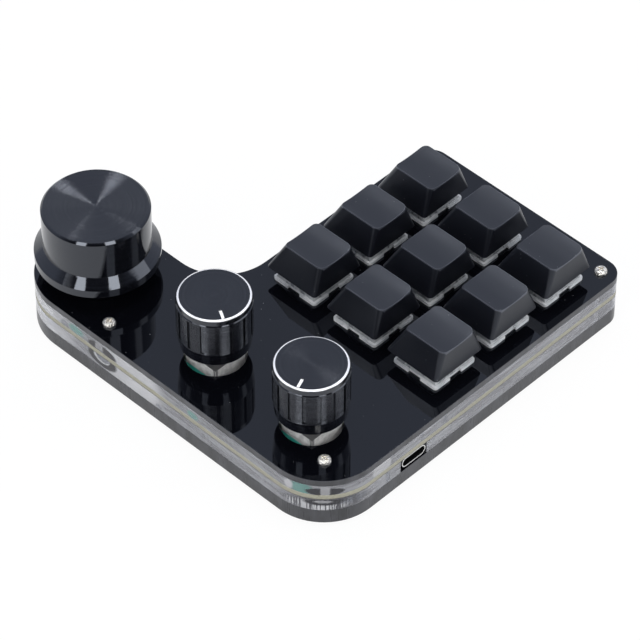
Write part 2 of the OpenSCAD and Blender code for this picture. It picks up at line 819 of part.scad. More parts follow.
socket_back = 1;             // back wall, which carries the tongue
module socket_place() {
    translate([socket_x, y_back, z_board - socket_h / 2]) rotate([90, 0, 0]) children();
}
module socket_shell() {
    color("#c4c6c8") socket_place() difference() {
        linear_extrude(socket_len) pill(socket_w, socket_h);
        translate([0, 0, -eps]) linear_extrude(socket_len - socket_back + eps)
            pill(socket_w - 2 * socket_wall, socket_h - 2 * socket_wall);
    }
}
tongue = [6.7, 0.7];
tongue_set_back = 0.9;
module socket_tongue() {
    color("#1c1c1e") socket_place() translate([0, 0, tongue_set_back])
        linear_extrude(socket_len - socket_back - tongue_set_back) square(tongue, center = true);
}

chip_w = 7;
chip_t = 1;
module controller_chip() {
    x = (key_x(2) + key_x(3)) / 2;
    y = (key_y(1) + key_y(1 + key_columns)) / 2;
    color("#202124") translate([x - chip_w / 2, y - chip_w / 2, z_board - chip_t])
        cube([chip_w, chip_w, chip_t]);
}

diode = [2.6, 1.4, 1.1];
diode_offset = -7.4;
module diodes() {
    color("#262626") for (k = KEYS)
        translate([key_x(k) - diode.x / 2, key_y(k) + diode_offset - diode.y / 2, z_board - diode.z])
            cube(diode);
}

// ---------------------------------------------------------------- drawing

top_plate();
upper_clear_frame();
circuit_board();
lower_clear_frame();
base_plate();
rubber_feet();
plate_screws();
plate_nuts();
upper_spacers();
lower_spacers();
switch_bases();
switch_covers();
switch_contacts();
socket_shell();
socket_tongue();
controller_chip();
diodes();
encoder_bases();
encoder_cans();
encoder_pins();
for (k = KEYS) {
    keycap(k);
    key_stem(k);
    key_spring(k);
}
for (k = KNOBS) {
    plunger(k);
    shaft(k);
    knob_screw(k);
}
for (k = ["back", "middle"]) {
    small_knob(k);
}
large_knob();  // front_knob
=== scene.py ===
"""Looks of an L-shaped macro keypad: nine sloped keys and three knobs on stacked acrylic.

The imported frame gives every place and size. Each sub-assembly is a class that softens, details and
paints its own pieces, and main() builds them in order before the studio is set up around them.
All lengths in the fields are millimetres, and meshes are made in metres.
"""

from __future__ import annotations

import json
import logging
import math
from abc import ABC, abstractmethod
from dataclasses import dataclass, field, replace
from enum import Enum, IntEnum
from typing import Any, Callable, Mapping, Sequence

import bmesh
import bpy
from mathutils import Matrix, Vector

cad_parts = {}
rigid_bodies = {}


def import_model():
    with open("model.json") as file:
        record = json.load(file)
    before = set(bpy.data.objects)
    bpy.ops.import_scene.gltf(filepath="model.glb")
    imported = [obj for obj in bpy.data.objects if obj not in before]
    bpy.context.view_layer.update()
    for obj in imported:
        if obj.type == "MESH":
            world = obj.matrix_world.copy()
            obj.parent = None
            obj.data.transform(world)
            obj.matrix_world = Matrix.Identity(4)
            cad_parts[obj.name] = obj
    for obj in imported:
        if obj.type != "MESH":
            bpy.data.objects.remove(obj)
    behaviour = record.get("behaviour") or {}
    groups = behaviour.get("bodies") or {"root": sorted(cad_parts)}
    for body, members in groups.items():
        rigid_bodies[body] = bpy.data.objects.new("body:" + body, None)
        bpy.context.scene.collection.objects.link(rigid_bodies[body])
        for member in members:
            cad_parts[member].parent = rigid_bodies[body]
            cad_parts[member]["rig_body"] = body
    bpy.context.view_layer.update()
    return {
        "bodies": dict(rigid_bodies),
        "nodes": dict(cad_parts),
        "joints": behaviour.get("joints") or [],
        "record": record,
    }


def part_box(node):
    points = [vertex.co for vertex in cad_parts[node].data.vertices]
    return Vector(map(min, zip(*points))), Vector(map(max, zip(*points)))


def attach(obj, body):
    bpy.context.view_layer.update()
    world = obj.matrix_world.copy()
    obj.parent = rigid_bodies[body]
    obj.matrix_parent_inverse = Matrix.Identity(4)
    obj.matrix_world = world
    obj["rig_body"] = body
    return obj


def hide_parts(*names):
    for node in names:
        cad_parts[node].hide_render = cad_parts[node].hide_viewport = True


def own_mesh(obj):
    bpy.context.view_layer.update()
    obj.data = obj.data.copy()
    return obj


LOG = logging.getLogger("keypad")
MM = 0.001
Colour = tuple[float, float, float]
Triple = tuple[float, float, float]
Pair = tuple[float, float]
Picker = Callable[[Vector, Vector], int]


# ------------------------------------------------------------------ shader maths


class Socket:
    """An output of a shader graph that Python operators can build on."""

    def __init__(self, graph: Nodes, link: bpy.types.NodeSocket) -> None:
        """Wraps an output of one of the graph's nodes."""
        self.graph = graph
        self.link = link

    def maths(self, operation: str, first: Any, second: Any = None) -> Socket:
        """Adds a Math node for one or two values, and gives its result."""
        values = {0: first} if second is None else {0: first, 1: second}
        return self.graph.node("ShaderNodeMath", {"operation": operation}, values)

    def __add__(self, other: Any) -> Socket:
        """Sum."""
        return self.maths("ADD", self, other)

    def __radd__(self, other: Any) -> Socket:
        """Sum with a number first."""
        return self.maths("ADD", other, self)

    def __sub__(self, other: Any) -> Socket:
        """Difference."""
        return self.maths("SUBTRACT", self, other)

    def __rsub__(self, other: Any) -> Socket:
        """Difference from a number."""
        return self.maths("SUBTRACT", other, self)

    def __mul__(self, other: Any) -> Socket:
        """Product."""
        return self.maths("MULTIPLY", self, other)

    def __rmul__(self, other: Any) -> Socket:
        """Product with a number first."""
        return self.maths("MULTIPLY", other, self)

    def __truediv__(self, other: Any) -> Socket:
        """Quotient."""
        return self.maths("DIVIDE", self, other)

    def __pow__(self, other: Any) -> Socket:
        """Power."""
        return self.maths("POWER", self, other)

    def __abs__(self) -> Socket:
        """Size without its sign."""
        return self.maths("ABSOLUTE", self)

    def sine(self) -> Socket:
        """Sine of an angle in radians."""
        return self.maths("SINE", self)

    def least(self, other: Any) -> Socket:
        """The smaller of this and another."""
        return self.maths("MINIMUM", self, other)

    def most(self, other: Any) -> Socket:
        """The larger of this and another."""
        return self.maths("MAXIMUM", self, other)

    def over(self, edge: float) -> Socket:
        """1 where this is above the edge, and 0 elsewhere."""
        return self.maths("GREATER_THAN", self, edge)

    def ramp(self, low: float, high: float, start: float = 0.0, end: float = 1.0) -> Socket:
        """Maps a range of this value smoothly onto another.

        Args:
            low: the value that gives start.
            high: the value that gives end.
            start: the result at and below low.
            end: the result at and above high.

        Returns:
            The mapped value.
        """
        settings = {"interpolation_type": "SMOOTHSTEP", "clamp": True}
        values = {0: self, 1: low, 2: high, 3: start, 4: end}
        return self.graph.node("ShaderNodeMapRange", settings, values)


class Nodes:
    """A node tree, emptied, that gets its nodes from one method."""

    def __init__(self, tree: bpy.types.NodeTree) -> None:
        """Empties the node tree of a material or a world."""
        self.tree = tree
        self.tree.nodes.clear()

    def node(
        self,
        kind: str,
        settings: Mapping[str, Any] | None = None,
        inputs: Mapping[int | str, Any] | None = None,
        output: int | str = 0,
    ) -> Socket:
        """Adds a node.

        Args:
            kind: the node's type.
            settings: its properties, set before its inputs.
            inputs: values or sockets by input name or number.
            output: the name or number of the output that is wanted.

        Returns:
            That output.
        """
        made = self.tree.nodes.new(kind)
        for key, value in (settings or {}).items():
            setattr(made, key, value)
        for key, value in (inputs or {}).items():
            self.feed(made.inputs[key], value)
        return Socket(self, made.outputs[output])

    def feed(self, target: bpy.types.NodeSocket, value: Any) -> None:
        """Sets or links an input.

        Args:
            target: the input.
            value: a number, a tuple or a Socket.
        """
        if isinstance(value, Socket):
            self.tree.links.new(value.link, target)
        elif isinstance(value, tuple) and len(value) == 3 and target.type == "RGBA":
            target.default_value = (*value, 1.0)
        else:
            target.default_value = value

    def ray(self, kind: str) -> Socket:
        """1 for light rays of one kind, and 0 for the others."""
        return self.node("ShaderNodeLightPath", output=kind)


class Graph(Nodes):
    """The node graph of one material, with a Principled shader at its end."""

    def __init__(self, name: str) -> None:
        """Starts a new material.

        Args:
            name: the material's name.
        """
        self.material = bpy.data.materials.new(name)
        self.material.use_nodes = True
        super().__init__(self.material.node_tree)
        self.out = self.tree.nodes.new("ShaderNodeOutputMaterial")
        self.shader = self.tree.nodes.new("ShaderNodeBsdfPrincipled")
        self.tree.links.new(self.shader.outputs[0], self.out.inputs["Surface"])

    def set(self, name: str, value: Any) -> None:
        """Sets or links one input of the Principled shader."""
        self.feed(self.shader.inputs[name], value)

    def place(self) -> Socket:
        """The point on the object, in metres in the frame of the part at rest."""
        return self.node("ShaderNodeTexCoord", output="Object")

    def place_from(self, centre: Triple) -> Socket:
        """The same point seen from a centre that is given in millimetres."""
        return self.vector_maths("SUBTRACT", self.place(), tuple(v * MM for v in centre))

    def parts(self, vector: Socket) -> tuple[Socket, Socket, Socket]:
        """Splits a vector into its x, y and z."""
        outputs = self.node("ShaderNodeSeparateXYZ", inputs={0: vector}).link.node.outputs
        return tuple(Socket(self, outputs[i]) for i in range(3))

    def vector(self, x: Any, y: Any, z: Any) -> Socket:
        """Joins three values into a vector."""
        return self.node("ShaderNodeCombineXYZ", inputs={0: x, 1: y, 2: z})

    def vector_maths(
        self, operation: str, first: Any, second: Any = None, scale: Any = None
    ) -> Socket:
        """Adds a Vector Math node.

        Args:
            operation: the node's operation.
            first: its first vector.
            second: its second vector, if it has one.
            scale: the factor of a SCALE operation.

        Returns:
            The resulting vector.
        """
        given = {0: first, 1: second, "Scale": scale}
        values = {key: value for key, value in given.items() if value is not None}
        return self.node("ShaderNodeVectorMath", {"operation": operation}, values)

    def noise(
        self, size_mm: float, detail: float = 2.0, at: Socket | None = None, rough: float = 0.5
    ) -> Socket:
        """Soft noise from 0 to 1.

        Args:
            size_mm: the size of one patch, or of one unit where at is given.
            detail: the number of finer layers.
            at: the coordinates to use in place of the object's.
            rough: the weight of the finer layers.

        Returns:
            The noise value.
        """
        values = {
            "Vector": at or self.place(),
            "Scale": 1 / (size_mm * MM),
            "Detail": detail,
            "Roughness": rough,
        }
        return self.node("ShaderNodeTexNoise", inputs=values)

    def drawn(self, stretch: Triple, detail: float = 2.0) -> Socket:
        """Noise drawn out into marks, so many to the millimetre along x, y and z."""
        return self.noise(1.0, detail, self.vector_maths("MULTIPLY", self.place(), stretch))

    def lint(
        self,
        cell_mm: float,
        patch_mm: float,
        radius: float = 0.05,
        patch_edge: Pair = (0.48, 0.56),
    ) -> Socket:
        """Small round specks that lie only in some patches.

        Args:
            cell_mm: the size of the cell that holds one speck.
            patch_mm: the size of the patches with and without specks.
            radius: the speck's radius as a share of its cell.
            patch_edge: the noise between which a patch of specks begins.

        Returns:
            1 on a speck and 0 elsewhere.
        """
        values = {"Vector": self.place(), "Scale": 1 / (cell_mm * MM)}
        found = self.node("ShaderNodeTexVoronoi", inputs=values)
        patches = self.noise(patch_mm, 1.0).ramp(*patch_edge)
        return found.ramp(radius * 0.6, radius, 1.0, 0.0) * patches

    def blend(self, amount: Any, first: Any, second: Any) -> Socket:
        """Mixes two colours.

        Args:
            amount: 0 for the first and 1 for the second.
            first: a colour or socket.
            second: a colour or socket.

        Returns:
            The mixed colour.
        """
        # The Mix node keeps its colour sockets after those for numbers and vectors.
        values = {0: amount, 6: first, 7: second}
        return self.node("ShaderNodeMix", {"data_type": "RGBA"}, values, 2)

    def bump(self, height: Socket, depth_mm: float, strength: float) -> Socket:
        """A normal bumped by a height from 0 to 1, over a depth in millimetres."""
        values = {"Height": height, "Distance": depth_mm * MM, "Strength": strength}
        return self.node("ShaderNodeBump", inputs=values)


# ------------------------------------------------------------------ finishes

_MADE: dict[str, bpy.types.Material] = {}
COOL = (0.82, 0.88, 1.0)  # the gloss of black plastics under the studio's cool light
TINY = 1e-6  # keeps a division by the radius safe on the axis
STRIPES = (0.46, 0.54)  # turns fine ripples into separate stripes


def scaled(colour: Colour, factor: float) -> Colour:
    """A colour made lighter or darker, but no lighter than white."""
    return tuple(min(1.0, factor * c) for c in colour)


@dataclass(frozen=True)
class Finish(ABC):
    """A surface: the constants of its shader, and a pattern that each kind adds.

    The roughness varies by the share uneven about itself. In the kinds, contrast gives the noise
    between which one colour passes into another, and strength tells how much of a bump shows.
    """

    name: str
    slot: str
    colour: Colour
    roughness: float = 0.4
    metallic: float = 0.0
    ior: float = 1.5
    clear: float = 0.0
    gloss: Colour = (1.0, 1.0, 1.0)
    uneven: float = 0.0

    @abstractmethod
    def pattern(self, g: Graph) -> None:
        """Adds what varies over the surface."""

    def rough(self, by: Socket) -> Socket:
        """The roughness, varied by a noise about its middle."""
        return self.roughness * (1 - self.uneven / 2 + self.uneven * by)

    def material(self) -> bpy.types.Material:
        """Gives the Blender material, made once.

        Returns:
            The material.
        """
        if self.name not in _MADE:
            g = Graph(self.name)
            g.set("Base Color", self.colour)
            g.set("Roughness", self.roughness)
            g.set("Metallic", self.metallic)
            g.set("IOR", self.ior)
            g.set("Transmission Weight", self.clear)
            g.set("Specular Tint", self.gloss)
            self.pattern(g)
            g.material.diffuse_color = (*self.colour, 1.0)
            _MADE[self.name] = g.material
        return _MADE[self.name]


@dataclass(frozen=True)
class MirrorAcrylic(Finish):
    """Cast acrylic with a mirror face, faint wipe marks and a few dust specks."""

    wipe: Triple = (60.0, 9.0, 20.0)
    film_mm: float = 14.0
    film_rough: float = 0.035
    speck_mm: float = 2.1
    patch_mm: float = 6.0
    wave_mm: float = 30.0
    wave_depth_mm: float = 0.02
    strength: float = 0.35
    dust: Colour = (0.32, 0.33, 0.34)
    dust_rough: float = 0.5

    def pattern(self, g: Graph) -> None:
        """Wipe marks in the gloss, a sparse dust and a very slow wave.

        Args:
            g: the graph to draw in.
        """
        smear = g.noise(self.film_mm, 3.0) * g.drawn(self.wipe, 3.0)
        lint = g.lint(self.speck_mm, self.patch_mm)
        g.set("Roughness", self.roughness + self.film_rough * smear + self.dust_rough * lint)
        g.set("Base Color", g.blend(lint, self.colour, self.dust))
        wave = g.noise(self.wave_mm, 1.0)
        g.set("Normal", g.bump(wave, self.wave_depth_mm, self.strength))


@dataclass(frozen=True)
class CutEdge(Finish):
    """Laser-cut edge: fine upright ripples and a slightly frosted skin."""

    uneven: float = 0.6
    light: Colour = (0.1, 0.1, 0.1)
    ripple: Triple = (3.2, 3.2, 0.12)
    ripple_share: float = 0.18
    frost: Triple = (0.28, 0.28, 0.1)
    contrast: Pair = (0.3, 0.7)
    depth_mm: float = 0.012
    strength: float = 0.6

    def pattern(self, g: Graph) -> None:
        """Ripples across the thickness, and lighter frost in patches.

        Args:
            g: the graph to draw in.
        """
        ripples = g.drawn(self.ripple)
        frost = g.drawn(self.frost, 3.0)
        skin = self.ripple_share * ripples + (1 - self.ripple_share) * frost
        g.set("Base Color", g.blend(skin.ramp(*self.contrast), self.colour, self.light))
        g.set("Roughness", self.rough(ripples))
        g.set("Normal", g.bump(ripples, self.depth_mm, self.strength))


@dataclass(frozen=True)
class Glimpse:
    """A painted image of something inside the stack that the cut edge of a clear layer bends into
    view: painted light where the inside is lit, painted shade in holes, and a dim painted colour of
    a part elsewhere.

    It is round about at, with half sizes along the edge and up, has a soft outline, and shows by
    the share amount. Where it is striped, the ripples of the edge break it up.
    """

    at: Triple
    along: float
    up: float
    colour: Colour
    amount: float = 1.0
    soft: float = 0.2
    striped: bool = False

    def mask(self, g: Graph, stripes: Socket) -> Socket:
        """How much of it shows.

        Args:
            g: the graph to draw in.
            stripes: the fine upright ripples of the edge.

        Returns:
            The share from 0 to 1.
        """
        x, y, z = g.parts(g.place_from(self.at))
        wide = (x * x + y * y) * (1 / (self.along * MM) ** 2)
        high = z * z * (1 / (self.up * MM) ** 2)
        inside = ((wide + high) ** 0.5).ramp(1 - self.soft, 1 + self.soft, self.amount, 0.0)
        return inside * stripes.ramp(*STRIPES) if self.striped else inside


@dataclass(frozen=True)
class ClearAcrylic(Finish):
    """Clear sheet seen through its cut edge, with soft streaks of light inside."""

    uneven: float = 1.0
    shade: Colour = (0.7, 0.71, 0.75)
    streak: Triple = (0.07, 0.07, 0.8)
    ripple: Triple = (2.2, 2.2, 0.1)
    ripple_share: float = 0.15
    contrast: Pair = (0.36, 0.64)
    depth_mm: float = 0.004
    strength: float = 0.4
    glimpses: tuple[Glimpse, ...] = ()

    def pattern(self, g: Graph) -> None:
        """Long soft painted streaks of light, the painted glimpses of what the edge bends into view,
        and faint ripples.

        Args:
            g: the graph to draw in.
        """
        fine = g.drawn(self.ripple)
        streaks = g.drawn(self.streak, 3.0)
        light = (1 - self.ripple_share) * streaks + self.ripple_share * fine
        tint = g.blend(light.ramp(*self.contrast), self.shade, self.colour)
        # Paints the painted light and painted shade of each glimpse over the edge's colour.
        for item in self.glimpses:
            tint = g.blend(item.mask(g, fine), tint, item.colour)
        g.set("Base Color", tint)
        g.set("Roughness", self.rough(fine))
        g.set("Normal", g.bump(fine, self.depth_mm, self.strength))


@dataclass(frozen=True)
class BoardEdge(Finish):
    """Cream core of the circuit board at its cut edge, with the copper's dark line under it."""

    cloth: Triple = (1.4, 1.4, 9.0)
    contrast: Pair = (0.3, 0.7)
    darker: float = 0.68
    depth_mm: float = 0.02
    strength: float = 0.5
    copper_level: float = 10.42
    copper_blend: float = 0.04
    copper_share: float = 0.8
    copper: Colour = (0.09, 0.085, 0.07)

    def pattern(self, g: Graph) -> None:
        """Fine layers of glass cloth, and the dark line.

        Args:
            g: the graph to draw in.
        """
        layers = g.drawn(self.cloth)
        _, _, z = g.parts(g.place())
        threads = scaled(self.colour, self.darker)
        core = g.blend(layers.ramp(*self.contrast), self.colour, threads)
        low, high = self.copper_level - self.copper_blend, self.copper_level + self.copper_blend
        line = z.ramp(low * MM, high * MM, self.copper_share, 0.0)
        g.set("Base Color", g.blend(line, core, self.copper))
        g.set("Normal", g.bump(layers, self.depth_mm, self.strength))


@dataclass(frozen=True)
class BoardFace(Finish):
    """White lacquer of the circuit board, with the glass cloth faintly under it."""

    thread_mm: float = 0.55
    depth_mm: float = 0.006
    strength: float = 0.4
    patch_mm: float = 5.0
    duller: float = 0.08

    def pattern(self, g: Graph) -> None:
        """A faint weave, and an uneven gloss.

        Args:
            g: the graph to draw in.
        """
        x, y, _ = g.parts(g.place())
        step = 2 * math.pi / (self.thread_mm * MM)
        weave = (x * step).sine() * (y * step).sine()
        g.set("Normal", g.bump(weave, self.depth_mm, self.strength))
        g.set("Roughness", self.roughness + self.duller * g.noise(self.patch_mm))


@dataclass(frozen=True)
class GrainedPlastic(Finish):
    """Moulded plastic with a spark-eroded grain and a little handling shine."""

    grain_mm: float = 0.16
    grain_rough: float = 0.06
    depth_mm: float = 0.006
    strength: float = 0.7
    handled_mm: float = 7.0
    contrast: Pair = (0.35, 0.7)
    shine: float = 0.08
    lighter: float = 1.08

    def pattern(self, g: Graph) -> None:
        """Fine grain and a softly uneven gloss.

        Args:
            g: the graph to draw in.
        """
        grain = g.noise(self.grain_mm, 2.0, rough=0.6)
        handled = g.noise(self.handled_mm)
        shiny = self.shine * handled.ramp(*self.contrast)
        g.set("Normal", g.bump(grain, self.depth_mm, self.strength))
        g.set("Roughness", self.roughness - shiny + self.grain_rough * grain)
        g.set("Base Color", self.tint(g, handled))

    def tint(self, g: Graph, handled: Socket) -> Socket:
        """The colour, a little lighter where it is handled."""
        return g.blend(handled, self.colour, scaled(self.colour, self.lighter))


@dataclass(frozen=True)
class RubbedKey(GrainedPlastic):
    """Key plastic with stray lint, and a painted highlight along the outline of the key's top.

    The outline is a rounded oblong about centre, with its half sizes and its corner radius, and
    the line is painted above level alone, full over the share line_core of its half width.
    """

    centre: Pair = (0.0, 0.0)
    half: Pair = (6.15, 7.03)
    corner: float = 1.7
    level: float = 29.5
    line_mm: float = 0.14
    line_core: float = 0.6
    rubbed: Colour = (0.055, 0.059, 0.072)
    speck_mm: float = 1.8
    patch_mm: float = 4.0
    lint: float = 0.8
    dust: Colour = (0.4, 0.4, 0.42)

    def tint(self, g: Graph, handled: Socket) -> Socket:
        """The plain colour with its lint, and a painted highlight colour on a thin line round the
        top.

        Args:
            g: the graph to draw in.
            handled: where the plastic is handled more; not used, as it doesn't show on a key.

        Returns:
            The colour.
        """
        plain = g.blend(g.lint(self.speck_mm, self.patch_mm) * self.lint, self.colour, self.dust)
        x, y, z = g.parts(g.place_from((*self.centre, 0.0)))
        inset = self.corner * MM
        across = (abs(x) - (self.half[0] * MM - inset)).most(0.0)
        along = (abs(y) - (self.half[1] * MM - inset)).most(0.0)
        from_line = abs((across**2 + along**2) ** 0.5 - inset)
        # A painted highlight on a thin line round the top, above level alone.
        line = from_line.ramp(self.line_mm * self.line_core * MM, self.line_mm * MM, 1.0, 0.0)
        return g.blend(line * z.over(self.level * MM), plain, self.rubbed)


@dataclass(frozen=True)
class MilkyPlastic(Finish):
    """Natural translucent moulding with cloudy flow marks."""

    uneven: float = 0.4
    deep: Colour = (0.3, 0.31, 0.32)
    cloud_mm: float = 2.2
    contrast: Pair = (0.35, 0.65)
    grain_mm: float = 0.5
    depth_mm: float = 0.01
    strength: float = 0.4

    def pattern(self, g: Graph) -> None:
        """Clouds in the colour and the gloss, and a fine grain.

        Args:
            g: the graph to draw in.
        """
        cloud = g.noise(self.cloud_mm, 3.0)
        g.set("Base Color", g.blend(cloud.ramp(*self.contrast), self.deep, self.colour))
        g.set("Roughness", self.rough(cloud))
        g.set("Normal", g.bump(g.noise(self.grain_mm), self.depth_mm, self.strength))


class Turning(Enum):
    """Which way a lathe's marks run on a turned surface."""

    FACE = "rings on a flat face"
    WALL = "rings round a wall"


@dataclass(frozen=True)
class TurnedMetal(Finish):
    """Metal with the fine rings that a lathe leaves, which fan the light out across them.

    The rings lean the surface by tilt, unevenly by band, and by lean all over, as rings cut deeper
    on one flank do. With bite, only the deepest part of each ring leans.
    """

    uneven: float = 0.4
    centre: Pair = (0.0, 0.0)
    turning: Turning = Turning.FACE
    pitch_mm: float = 0.09
    band_mm: float = 0.6
    wander: float = 40.0
    tilt: float = 0.1
    lean: float = 0.0
    band: float = 0.3
    bite: bool = False
    ring_light: float = 2.2
    contrast: Pair = (0.42, 0.62)

    def pattern(self, g: Graph) -> None:
        """Tilts the normal from ring to ring, with bands of stronger and weaker rings.

        Args:
            g: the graph to draw in.
        """
        x, y, z = g.parts(g.place_from((*self.centre, 0.0)))
        if self.turning is Turning.FACE:
            along = (x * x + y * y) ** 0.5
            way = g.vector(x / (along + TINY), y / (along + TINY), 0.0)
        else:
            along = z
            way = g.vector(0.0, 0.0, 1.0)
        bands = g.node(
            "ShaderNodeTexNoise",
            {"noise_dimensions": "1D"},
            {"W": along, "Scale": 1 / (self.band_mm * MM), "Detail": 3.0},
        )
        wave = (along * (2 * math.pi / (self.pitch_mm * MM)) + self.wander * bands).sine()
        if self.bite:
            wave = wave * wave * wave
        amount = wave * self.tilt * (1.0 - self.band + 2 * self.band * bands) + self.lean
        turned = g.node(
            "ShaderNodeVectorTransform",
            {"vector_type": "VECTOR", "convert_from": "OBJECT", "convert_to": "WORLD"},
            {0: way},
        )
        leant = g.vector_maths("SCALE", turned, scale=amount)
        normal = g.node("ShaderNodeNewGeometry", output="Normal")
        g.set("Normal", g.vector_maths("NORMALIZE", g.vector_maths("ADD", normal, leant)))
        g.set("Roughness", self.rough(bands))
        light = scaled(self.colour, self.ring_light)
        g.set("Base Color", g.blend(bands.ramp(*self.contrast), self.colour, light))


@dataclass(frozen=True)
class CutRim(Finish):
    """Chamfer that is cut bright through the black skin above a level."""

    uneven: float = 0.3
    level: float = 39.0
    blend_mm: float = 0.03
    skin: Colour = (0.01, 0.011, 0.014)
    grain_mm: float = 0.5

    def pattern(self, g: Graph) -> None:
        """Bright metal above the level and black skin below it.

        Args:
            g: the graph to draw in.
        """
        _, _, z = g.parts(g.place())
        bright = z.ramp((self.level - self.blend_mm) * MM, (self.level + self.blend_mm) * MM)
        g.set("Base Color", g.blend(bright, self.skin, self.colour))
        g.set("Metallic", bright * self.metallic)
        g.set("Roughness", self.rough(g.noise(self.grain_mm)))


@dataclass(frozen=True)
class SheetMetal(Finish):
    """Rolled and plated metal with rolling marks and soft stains."""

    uneven: float = 0.6
    mark: Triple = (6.0, 0.4, 0.4)
    relief_mm: float = 0.004
    strength: float = 0.5
    stain_mm: float = 2.5
    stain_rough: float = 0.08
    contrast: Pair = (0.35, 0.7)
    darker: float = 0.78

    def pattern(self, g: Graph) -> None:
        """Rolling marks along one way, and uneven plating.

        Args:
            g: the graph to draw in.
        """
        rolled = g.drawn(self.mark, 3.0)
        stain = g.noise(self.stain_mm, 3.0)
        g.set("Roughness", self.rough(rolled) + self.stain_rough * stain)
        g.set("Base Color", self.tint(g, stain))
        g.set("Normal", g.bump(rolled, self.relief_mm, self.strength))

    def tint(self, g: Graph, stain: Socket) -> Socket:
        """The colour, darker where it is stained."""
        return g.blend(stain.ramp(*self.contrast), self.colour, scaled(self.colour, self.darker))


@dataclass(frozen=True)
class CanSheet(SheetMetal):
    """Plated can walls with painted shade near each corner, standing in for the roof in the knob's
    shadow, and painted bright lines in that shade.

    The cans stand on axis_x, one on each of axes_y, and half is half their width. The painted shade
    fades between the two distances of seam from a corner.
    """

    contrast: Pair = (0.3, 0.7)
    darker: float = 0.7
    axis_x: float = 40.8
    axes_y: Triple = (38.05, 2.45, -42.55)
    half: float = 6.0
    seam: Pair = (0.76, 0.95)
    line_mm: float = 0.42
    line_edge: Pair = (-0.2, 0.5)
    line_share: float = 0.6
    tone_mm: float = 1.6
    shadow: Colour = (0.04, 0.04, 0.045)

    def tint(self, g: Graph, stain: Socket) -> Socket:
        """A cloudier plating, and painted shade near the corners with painted bright lines in it.

        Args:
            g: the graph to draw in.
            stain: the plain sheet's stains; not used, as the clouds replace them.

        Returns:
            The colour.
        """
        x, y, _ = g.parts(g.place())
        first, second, third = (abs(y - middle * MM) for middle in self.axes_y)
        near_y = first.least(second).least(third)
        from_corner = 2 * self.half * MM - abs(x - self.axis_x * MM) - near_y
        # Painted shade near each corner, for the roof in the knob's shadow, broken by painted bright
        # lines.
        wave = (from_corner * (2 * math.pi / (self.line_mm * MM))).sine()
        seam = from_corner.ramp(self.seam[0] * MM, self.seam[1] * MM, 1.0, 0.0)
        dark = seam * (1.0 - self.line_share * wave.ramp(*self.line_edge))
        tone = g.noise(self.tone_mm).ramp(*self.contrast)
        sheet = g.blend(tone, self.colour, scaled(self.colour, self.darker))
        return g.blend(dark, sheet, self.shadow)


PLATE_FACE = MirrorAcrylic(
    "black_acrylic_face", "black_acrylic", (0.002, 0.0022, 0.0035), 0.02, ior=1.52, gloss=COOL
)
PLATE_EDGE = CutEdge(
    "black_acrylic_cut",
    "black_acrylic",
    (0.022, 0.0225, 0.026),
    0.32,
    ior=1.49,
    light=(0.055, 0.056, 0.064),
)
BASE_EDGE = CutEdge(
    "base_acrylic_cut",
    "black_acrylic",
    (0.02, 0.021, 0.024),
    0.3,
    ior=1.49,
    light=(0.046, 0.047, 0.054),
)
# Colours of the painted glimpses: painted shade in holes and low in the stack, painted light, and
# dim painted copies of shanks, teal bases and grey parts.
PAINTED_HOLE_SHADE = (0.022, 0.022, 0.034)
SHANK_PALE = (0.62, 0.62, 0.64)
PAINTED_LIGHT = (0.98, 0.98, 1.0)
TEAL_DIM = (0.22, 0.52, 0.46)
GREY_DIM = (0.3, 0.32, 0.37)
PAINTED_DEEP_SHADE = (0.09, 0.09, 0.11)
